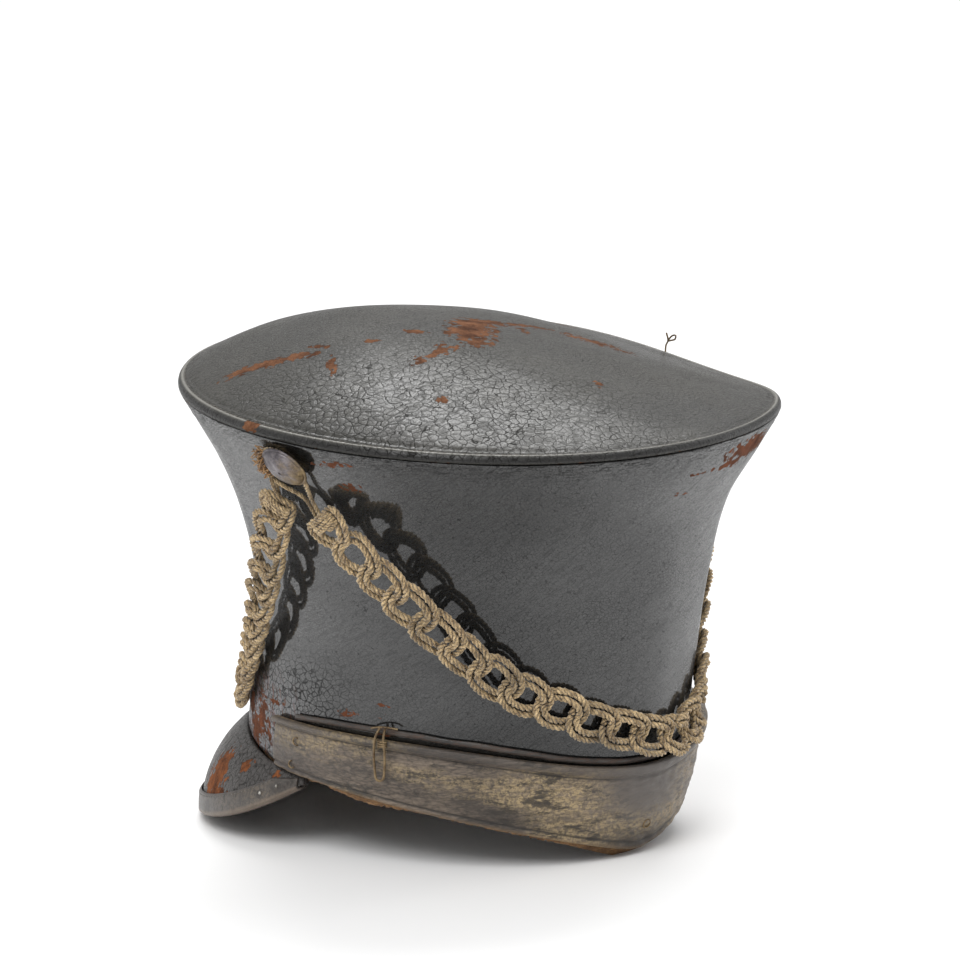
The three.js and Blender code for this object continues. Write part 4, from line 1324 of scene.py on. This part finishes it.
def worn_leather(name, across, dark, light, gold):
    """Leather whose black has rubbed off to grey, brown and khaki, with dark cracks along it."""
    material, tree = new_material(name)
    drawn = object_vector(tree, across)
    ground = mottled(tree, drawn, dark, light, 1.0, 16.0, 1.5)
    patches = noise(tree, drawn, 0.55, 6.0, 0.68)["Fac"]
    speck = noise(tree, object_vector(tree), 700.0, 4.0, 0.7)["Fac"]
    golden = times(tree, ranged(tree, patches, 0.48, 0.58), ranged(tree, speck, 0.42, 0.56, 0.1, 1.0))
    colour = blend_colour(tree, golden, ground["Color"], gold)
    crackle = crackled(tree, drawn, 5.5, 0.1, 0.08)
    streaks = ranged(tree, noise(tree, drawn, 2.2, 6.0, 0.7)["Fac"], 0.535, 0.6)
    colour = tinted(tree, colour, streaks, 0.85, (0.02, 0.016, 0.013, 1))
    colour = tinted(tree, colour, crackle["Cracks"], 0.85, (0.018, 0.014, 0.011, 1))
    return material, tree, colour, field_value(tree, "share"), crackle["Height"], speck


def band_leather():
    """The neck band: its hem dark, its two folds painted near black as painted shade, its back grey, its ends
    dull and its cut edge tan.
    """
    material, tree, colour, share, cracks, speck = worn_leather(
        "worn band leather", (24, 24, 80), (0.06, 0.047, 0.037, 1), (0.2, 0.155, 0.115, 1),
        (0.4, 0.3, 0.16, 1))
    around = field_value(tree, "around")
    crease = times(tree, ranged(tree, share, 0.825, 0.84), ranged(tree, share, 0.855, 0.84))
    low_fold = times(tree, ranged(tree, share, 0.06, 0.085), ranged(tree, share, 0.115, 0.09))
    back = times(tree, ranged(tree, around, 0.24, 0.06), ranged(tree, around, -0.24, -0.06))
    colour = tinted(tree, colour, ranged(tree, share, 0.85, 0.9), 0.55, (0.05, 0.042, 0.037, 1))
    # Painted shade in the fold under the hem and the fold near the bottom.
    colour = tinted(tree, colour, calc(tree, "MAXIMUM", crease, low_fold), 0.85, (0.016, 0.013, 0.011, 1))
    colour = tinted(tree, colour, back, ranged(tree, share, 0.25, 0.5, 0.3, 0.85), (0.1, 0.088, 0.08, 1))
    low = times(tree, back, ranged(tree, share, 0.3, 0.08))
    colour = tinted(tree, colour, low, 0.75, (0.03, 0.024, 0.02, 1))
    ends = calc(tree, "MAXIMUM", ranged(tree, around, 0.86, 1.06), ranged(tree, around, -0.86, -1.06))
    colour = tinted(tree, colour, ends, 0.5, (0.06, 0.05, 0.045, 1))
    first = bumped(tree, cracks, 0.35, 0.0003)
    return finish_material(material, {
        "Base Color": tinted(tree, colour, ranged(tree, share, 0.05, 0.0), 0.6, (0.2, 0.12, 0.05, 1)),
        "Roughness": ranged(tree, speck, 0.3, 0.7, 0.36, 0.56),
        "Normal": bumped(tree, speck, 0.3, 0.0002, first)})


def binding_leather():
    """The peak's binding: dark where it starts and rubbed pale on its fold."""
    material, tree, colour, share, cracks, speck = worn_leather(
        "binding leather", (60, 60, 60), (0.035, 0.029, 0.025, 1), (0.085, 0.072, 0.062, 1),
        (0.12, 0.095, 0.07, 1))
    colour = tinted(tree, colour, ranged(tree, share, 0.12, 0.0), 0.7, (0.03, 0.022, 0.018, 1))
    return finish_material(material, {
        "Base Color": tinted(tree, colour, ranged(tree, share, 0.86, 1.0), 0.45, (0.22, 0.16, 0.11, 1)),
        "Roughness": ranged(tree, speck, 0.3, 0.7, 0.34, 0.5),
        "Normal": bumped(tree, speck, 0.25, 0.0002)})


def raw_leather():
    """The sweatband: tan at its lower edge and darker inside."""
    material, tree = new_material("raw tan leather")
    place = object_vector(tree)
    ground = mottled(tree, place, (0.09, 0.045, 0.02, 1), (0.36, 0.2, 0.085, 1), 60.0, 1300.0, 0.9)
    fibres = creased(tree, object_vector(tree, (260, 260, 900)), 0.06)
    colour = tinted(tree, ground["Color"], fibres["Lines"], 0.5, (0.06, 0.028, 0.014, 1))
    inside = ranged(tree, field_value(tree, "share"), 0.12, 0.3)
    return finish_material(material, {
        "Base Color": tinted(tree, colour, inside, 0.5, (0.09, 0.055, 0.032, 1)),
        "Roughness": 0.78,
        "Normal": bumped(tree, fibres["Height"], 0.6, 0.0004)})


def black_leather():
    material, tree = new_material("dull black leather")
    place = object_vector(tree)
    ground = mottled(tree, place, (0.012, 0.011, 0.01, 1), (0.055, 0.045, 0.038, 1), 70.0, 1300.0, 0.8)
    creases = creased(tree, object_vector(tree, (90, 90, 700)), 0.05)
    return finish_material(material, {
        "Base Color": tinted(tree, ground["Color"], creases["Lines"], 0.5, (0.09, 0.04, 0.02, 1)),
        "Roughness": ranged(tree, ground["Amount"], 0, 1, 0.35, 0.55),
        "Normal": bumped(tree, creases["Height"], 0.5, 0.0003)})


def worsted_cord(name, dark, light):
    """Twisted worsted thread: dull, hairy and soiled in clouds, darkened between the strands by painted shade,
    so the high strands look paler.
    """
    material, tree = new_material(name)
    place = object_vector(tree)
    ground = mottled(tree, place, dark, light, 260.0, 1700.0, 2.2)
    fibres = noise(tree, place, 1500.0, 4.0, 0.7)["Fac"]
    soiled = ranged(tree, noise(tree, place, 45.0, 3.0)["Fac"], 0.52, 0.72, 0.0, 0.5)
    colour = blend_colour(tree, soiled, ground["Color"], (0.085, 0.062, 0.034, 1))
    # Painted shade: the colour darkens where the strands hide each other.
    hollow = put(tree, "ShaderNodeAmbientOcclusion", {"Distance": 0.0012}, samples=4, only_local=True)["AO"]
    painted_gap_shade = ranged(tree, hollow, 0.3, 0.85, 0.85, 0.0)
    return finish_material(material, {
        "Base Color": blend_colour(tree, painted_gap_shade, colour, (0.05, 0.034, 0.018, 1)),
        "Roughness": 0.85, "Sheen Weight": 0.35, "Sheen Roughness": 0.5,
        "Normal": bumped(tree, fibres, 0.7, 0.0003)})


def tarnished_button():
    """Grey tarnish with the gilt left towards the low right."""
    material, tree = new_material("tarnished button")
    place = object_vector(tree)
    ground = mottled(tree, place, (0.05, 0.044, 0.05, 1), (0.19, 0.172, 0.178, 1), 190.0, 1500.0, 1.0)
    gold = mottled(tree, place, (0.08, 0.054, 0.028, 1), (0.3, 0.22, 0.12, 1), 230.0, 1500.0, 1.0)
    cloud = noise(tree, place, 260.0, 4.0)["Fac"]
    shown = calc(tree, "ADD", field_value(tree, "gilt"), times(tree, cloud, 1.6))
    return finish_material(material, {
        "Base Color": blend_colour(tree, ranged(tree, shown, 0.95, 1.6), ground["Color"], gold["Color"]),
        "Metallic": 0.75,
        "Roughness": ranged(tree, cloud, 0.3, 0.7, 0.3, 0.55),
        "Normal": bumped(tree, cloud, 0.35, 0.0003)})


def plain_metal(name, dark, light, metallic, rough):
    material, tree = new_material(name)
    ground = mottled(tree, object_vector(tree), dark, light, 210.0, 1900.0, 0.9)
    return finish_material(material, {
        "Base Color": ground["Color"], "Metallic": metallic,
        "Roughness": ranged(tree, ground["Amount"], 0, 1, rough[0], rough[1]),
        "Normal": bumped(tree, ground["Amount"], 0.3, 0.0002)})


def pale_floor():
    material, tree = new_material("pale floor")
    ground = mottled(tree, object_vector(tree), (0.9, 0.9, 0.9, 1), (0.93, 0.93, 0.93, 1), 2.0, 60.0, 0.1)
    return finish_material(material, {
        "Base Color": ground["Color"], "Roughness": 0.9, "Specular IOR Level": 0.1})


TWISTED_CORD = twisted_cord_tree()
ROUND_WIRE = round_wire_tree()
ROW = row_tree()
CRACKLE = crackle_group()
BARE = bare_group()
MOTTLE = mottle_group()
CREASES = creases_group()

HIDE_DARK = (0.055, 0.024, 0.014, 1)
# A near black used only as painted shade: under the wall's rim and round the top's edge.
PAINTED_SHADE_BLACK = (0.006, 0.0055, 0.005, 1)
BODY_TONES = (
    (0.005, 0.0052, 0.0052, 1), (0.0115, 0.0117, 0.0113, 1), (0.002, 0.002, 0.002, 1), (0.16, 0.058, 0.03, 1))
TOP_TONES = (
    (0.024, 0.0228, 0.019, 1), (0.05, 0.0475, 0.04, 1), (0.009, 0.0085, 0.0075, 1), (0.2, 0.092, 0.048, 1))
PEAK_TONES = (
    (0.028, 0.025, 0.023, 1), (0.07, 0.062, 0.057, 1), (0.004, 0.0035, 0.003, 1), (0.26, 0.092, 0.036, 1))
WALL_LOOK = {
    "cells": 600.0, "coarse_cells": 300.0, "crack": 0.13, "coarse_crack": 0.2, "crack_strength": 0.65,
    "rim_creases": 0.95, "slanting": 0.4, "stretch": (1, 1, 1.35), "crease_stretch": (110, 110, 800),
    "smooth": 0.2, "rough": 0.32, "coat": 1.0, "coat_rough": 0.045, "specular": 0.14, "grazing": 0.15,
    "coat_ior": 1.7, "cell_bump": 0.3, "crease_bump": 0.3}
TOP_LOOK = {
    "cells": 560.0, "coarse_cells": 290.0, "crack": 0.16, "coarse_crack": 0.1, "crack_strength": 0.7,
    "rim_creases": 0.0, "slanting": 0.0, "stretch": (1, 1, 1), "crease_stretch": (60, 120, 90),
    "smooth": 0.27, "rough": 0.38, "coat": 0.16, "coat_rough": 0.2, "specular": 0.4, "grazing": 0.3,
    "coat_ior": 1.5, "cell_bump": 0.6, "crease_bump": 0.3}
PEAK_LOOK = {
    "cells": 420.0, "coarse_cells": 300.0, "crack": 0.16, "coarse_crack": 0.2, "crack_strength": 0.9,
    "rim_creases": 0.0, "slanting": 0.0, "stretch": (1, 1, 0.5), "crease_stretch": (170, 170, 60),
    "smooth": 0.28, "rough": 0.42, "coat": 0.2, "coat_rough": 0.2, "specular": 0.5, "grazing": 0.6,
    "coat_ior": 1.5, "cell_bump": 0.5, "crease_bump": 0.5}
khaki_cord = worsted_cord("khaki worsted cord", (0.15, 0.092, 0.04, 1), (0.68, 0.5, 0.27, 1))
orange_thread = worsted_cord("orange thread", (0.16, 0.07, 0.02, 1), (0.42, 0.22, 0.07, 1))
dark_thread = worsted_cord("dark stitching thread", (0.02, 0.018, 0.015, 1), (0.1, 0.09, 0.075, 1))
rusty_wire = plain_metal("rusty wire", (0.07, 0.04, 0.02, 1), (0.3, 0.22, 0.12, 1), 0.6, (0.35, 0.7))
black_metal = plain_metal(
    "blackened metal", (0.008, 0.008, 0.009, 1), (0.035, 0.034, 0.034, 1), 0.6, (0.3, 0.5))
bright_stud = plain_metal("bright stud", (0.2, 0.19, 0.17, 1), (0.6, 0.58, 0.54, 1), 0.9, (0.25, 0.4))


# Pieces.


wall_leather = patent_leather("crown patent leather", WALL_LOOK, BODY_TONES, wall_wear_and_painted_light)
top_leather = patent_leather("top patent leather", TOP_LOOK, TOP_TONES, top_painted_light)
peak_leather = patent_leather("peak patent leather", PEAK_LOOK, PEAK_TONES)
finish_piece(crown_wall(), wall_leather, ["crown_body"])
finish_piece(domed_top(), top_leather, ["crown_top"])
finish_piece(folded_band(), band_leather(), ["neck_band"])
finish_piece(narrow_strap(), black_leather(), ["base_strap"])
finish_piece(raw_sweatband(), raw_leather(), ["sweatband"])
finish_piece(curved_peak(), peak_leather, ["peak"])
finish_piece(edge_binding(), binding_leather(), ["peak_binding"])

for name, plait, shares, rises, seed in (("rear_plait", REAR_PLAIT, REAR_SHARES, REAR_RISES, 4),
                                         ("front_plait", FRONT_PLAIT, FRONT_SHARES, FRONT_RISES, 9)):
    links, knots = cord_links(plait, shares, rises, seed)
    rings = cord_piece("cord_links", links, True, PLAIT_CORD, khaki_cord)
    ends = cord_piece("cord_knots", knots, False, PLAIT_CORD * 0.8, khaki_cord)
    finish_piece(joined("cords_of_" + name, [rings, ends]), None, [name])

finish_piece(side_button(), tarnished_button(), ["side_button"])
for side, word in ((1, "left"), (-1, "right")):
    hanger = cord_piece("hanger_" + word, [hanger_line(side)], False, HANGER_CORD, khaki_cord)
    finish_piece(hanger, None, ["hanger_cord_" + word])
    loop = cord_piece("loop_" + word, [loop_line(side)], False, HANGER_CORD * 0.9, khaki_cord)
    finish_piece(loop, None, ["front_loop_" + word])
    hook = wire_piece("hook_" + word, [hook_line(side)], HOOK_WIRE, rusty_wire, 0.0007)
    staple = wire_piece("staple_" + word, staple_lines(side), 0.0008, rusty_wire, 0.0004)
    finish_piece(joined("wire_hook_" + word, [hook, staple]), None, ["flap_hook_" + word])

fork = wire_piece("forked_wire", bare_wire_lines(), SHANK_WIRE * 0.65, rusty_wire)
finish_piece(fork, None, ["bare_wire_right"])

border, border_outs = plate_border()
scallops = row_piece("plate_scallops", border, border_outs, {
    "Spacing": 0.0034, "Length": 0.0033, "Width": 0.003, "Height": 0.0017, "Unevenness": 0.03, "Seed": 3,
    "Material": black_metal})
plate = front_plate()
plate.data.materials.append(black_metal)
finish_piece(joined("shield_plate_and_border", [plate, scallops]), None, ["front_plate"])

# Stitching along the top's edge and the peak's binding.

stitch_angles = np.linspace(-180, 180, 720)
stitch_reach = 1 - 0.003 / TOP_SPAN
stitch_line = top_point(stitch_angles, stitch_reach + 0 * stitch_angles, PIECE_GAP + TOP_THICKNESS - 0.00035)
stitch_outs = np.tile([0.0, 0.0, 1.0], (len(stitch_angles), 1))
rim_stitches = row_piece("rim_stitches", stitch_line, stitch_outs, {
    "Spacing": 0.0026, "Length": 0.0021, "Width": 0.0006, "Height": 0.0005, "Unevenness": 0.2, "Seed": 5,
    "Material": dark_thread})
finish_piece(rim_stitches)

stitch_fronts = PEAK_FRONTS[40:-40, 0]
stitch_q = 1 - binding_share(stitch_fronts) * 0.84
stitch_line = peak_point(stitch_fronts, stitch_q, BINDING_GAP + BINDING_THICKNESS - 0.0001)
above_line = peak_point(stitch_fronts, stitch_q, BINDING_GAP + BINDING_THICKNESS + 0.001)
stitch_outs = (above_line - stitch_line) / np.linalg.norm(above_line - stitch_line, axis=1, keepdims=True)
binding_stitches = row_piece("binding_stitches", stitch_line, stitch_outs, {
    "Spacing": 0.0026, "Length": 0.0017, "Width": 0.0005, "Height": 0.0004, "Unevenness": 0.2, "Seed": 7,
    "Material": dark_thread})
finish_piece(binding_stitches)

# Fixings in the band and the binding.


def mark_line(angle, height, radius, turn_from, turn_to, offset):
    turns = np.radians(np.linspace(turn_from, turn_to, 30))
    round_way = np.degrees(radius * np.sin(turns) / crown_point(90, height)[0])
    return crown_point(angle + round_way, height + radius * np.cos(turns), offset)


marks = [
    mark_line(101, 0.0495, 0.0018, -20, 200, 0.0033),
    mark_line(102.5, 0.0385, 0.0016, 10, 220, 0.0033),
    mark_line(-0.5, 0.0135, 0.0018, 0, 350, 0.0031),
    mark_line(-101, 0.0495, 0.0018, -20, 200, 0.0033),
]
finish_piece(wire_piece("band_rings", marks, 0.0007, rusty_wire, 0.0004))

stud_work = bmesh.new()
for front, q in ((74.5, 0.62), (70.0, 0.74), (-74.5, 0.62), (-70.0, 0.74)):
    seat = peak_point(front, q, BINDING_GAP + BINDING_THICKNESS)
    made = bmesh.ops.create_uvsphere(stud_work, u_segments=16, v_segments=10, radius=0.0008)
    bmesh.ops.translate(stud_work, verts=made["verts"], vec=tuple(map(float, seat)))
stud_mesh = bpy.data.meshes.new("binding_studs")
stud_work.to_mesh(stud_mesh)
stud_work.free()
stud_mesh.shade_smooth()
finish_piece(new_piece("binding_studs", stud_mesh), bright_stud)

# Frayed thread beside the button.

tuft = run_tree("frayed_tuft", path_mesh("frayed_tuft", tuft_lines()), ROUND_WIRE, {
    "Diameter": 0.0005, "Spacing": 0.0006, "Sides": 5, "Material": orange_thread})
finish_piece(tuft)

# Floor, lights, world and camera.

floor_work = bmesh.new()
bmesh.ops.create_circle(floor_work, cap_ends=True, radius=9.0, segments=96)
floor_mesh = bpy.data.meshes.new("pale_floor")
floor_work.to_mesh(floor_mesh)
floor_work.free()
floor_mesh.materials.append(pale_floor())
floor = new_piece("pale_floor", floor_mesh)

world = bpy.data.worlds.new("soft studio")
bpy.context.scene.world = world
world.use_nodes = True
background = world.node_tree.nodes["Background"]
background.inputs["Color"].default_value = (1, 1, 1, 1)
background.inputs["Strength"].default_value = 0.66


def hang_light(light, place, aim):
    holder = new_piece(light.name, light)
    holder.rotation_euler = (Vector(aim) - Vector(place)).to_track_quat("-Z", "Y").to_euler()
    return holder


def soft_light(name, place, aim, size, power):
    light = bpy.data.lights.new(name, "AREA")
    light.shape = "RECTANGLE"
    light.size, light.size_y = size
    light.energy = power
    hang_light(light, place, aim).location = place


azimuth = math.radians(CAMERA_AZIMUTH)
elevation = math.radians(CAMERA_ELEVATION)
roll = math.radians(CAMERA_ROLL)
flat = math.cos(elevation)
back = np.array([math.sin(azimuth) * flat, -math.cos(azimuth) * flat, math.sin(elevation)])
right = np.array([math.cos(azimuth), math.sin(azimuth), 0])
up = np.cross(back, right)
level_right = math.cos(roll) * right + math.sin(roll) * up
level_up = math.cos(roll) * up - math.sin(roll) * right
target = CAMERA_TARGET + SHIFT


def seen_from(side, rise, away):
    """A place beside the subject as the camera sees it: to its right, above it and towards the camera."""
    flat_back = back * np.array([1, 1, 0])
    return target + right * side + np.array([0, 0, rise]) + flat_back / np.linalg.norm(flat_back) * away


key = bpy.data.lights.new("high sun", "SUN")
key.energy = 1.55
key.angle = math.radians(38)
hang_light(key, seen_from(0.25, 2.2, -1.5), target)
soft_light("far softbox", seen_from(0.5, 2.1, -0.95), target, (1.5, 0.5), 7)
soft_light("front fill", seen_from(-0.5, 1.9, 1.5), target, (1.4, 1.4), 32)
soft_light("left softbox", seen_from(-1.3, 0.5, -0.1), target, (0.5, 1.3), 1.5)
soft_light("right softbox", seen_from(1.35, 0.45, -0.35), target, (0.4, 1.2), 3)

forward = -back + level_right * PHOTO_CENTRE[0] + level_up * PHOTO_CENTRE[1]
forward = forward / np.linalg.norm(forward)
side_way = np.cross(forward, level_up)
side_way = side_way / np.linalg.norm(side_way)
up_way = np.cross(side_way, forward)
camera_data = bpy.data.cameras.new("camera")
camera_data.lens = CAMERA_LENS
camera_data.sensor_width = 36
camera_data.sensor_fit = "HORIZONTAL"
camera_data.clip_end = 40
camera = new_piece("camera", camera_data)
stand = target + back * CAMERA_DISTANCE
rows = [[side_way[k], up_way[k], -forward[k], stand[k]] for k in range(3)]
camera.matrix_world = Matrix(rows + [[0, 0, 0, 1]])
bpy.context.scene.camera = camera
bpy.context.scene.view_settings.view_transform = "Standard"

bpy.context.view_layer.update()
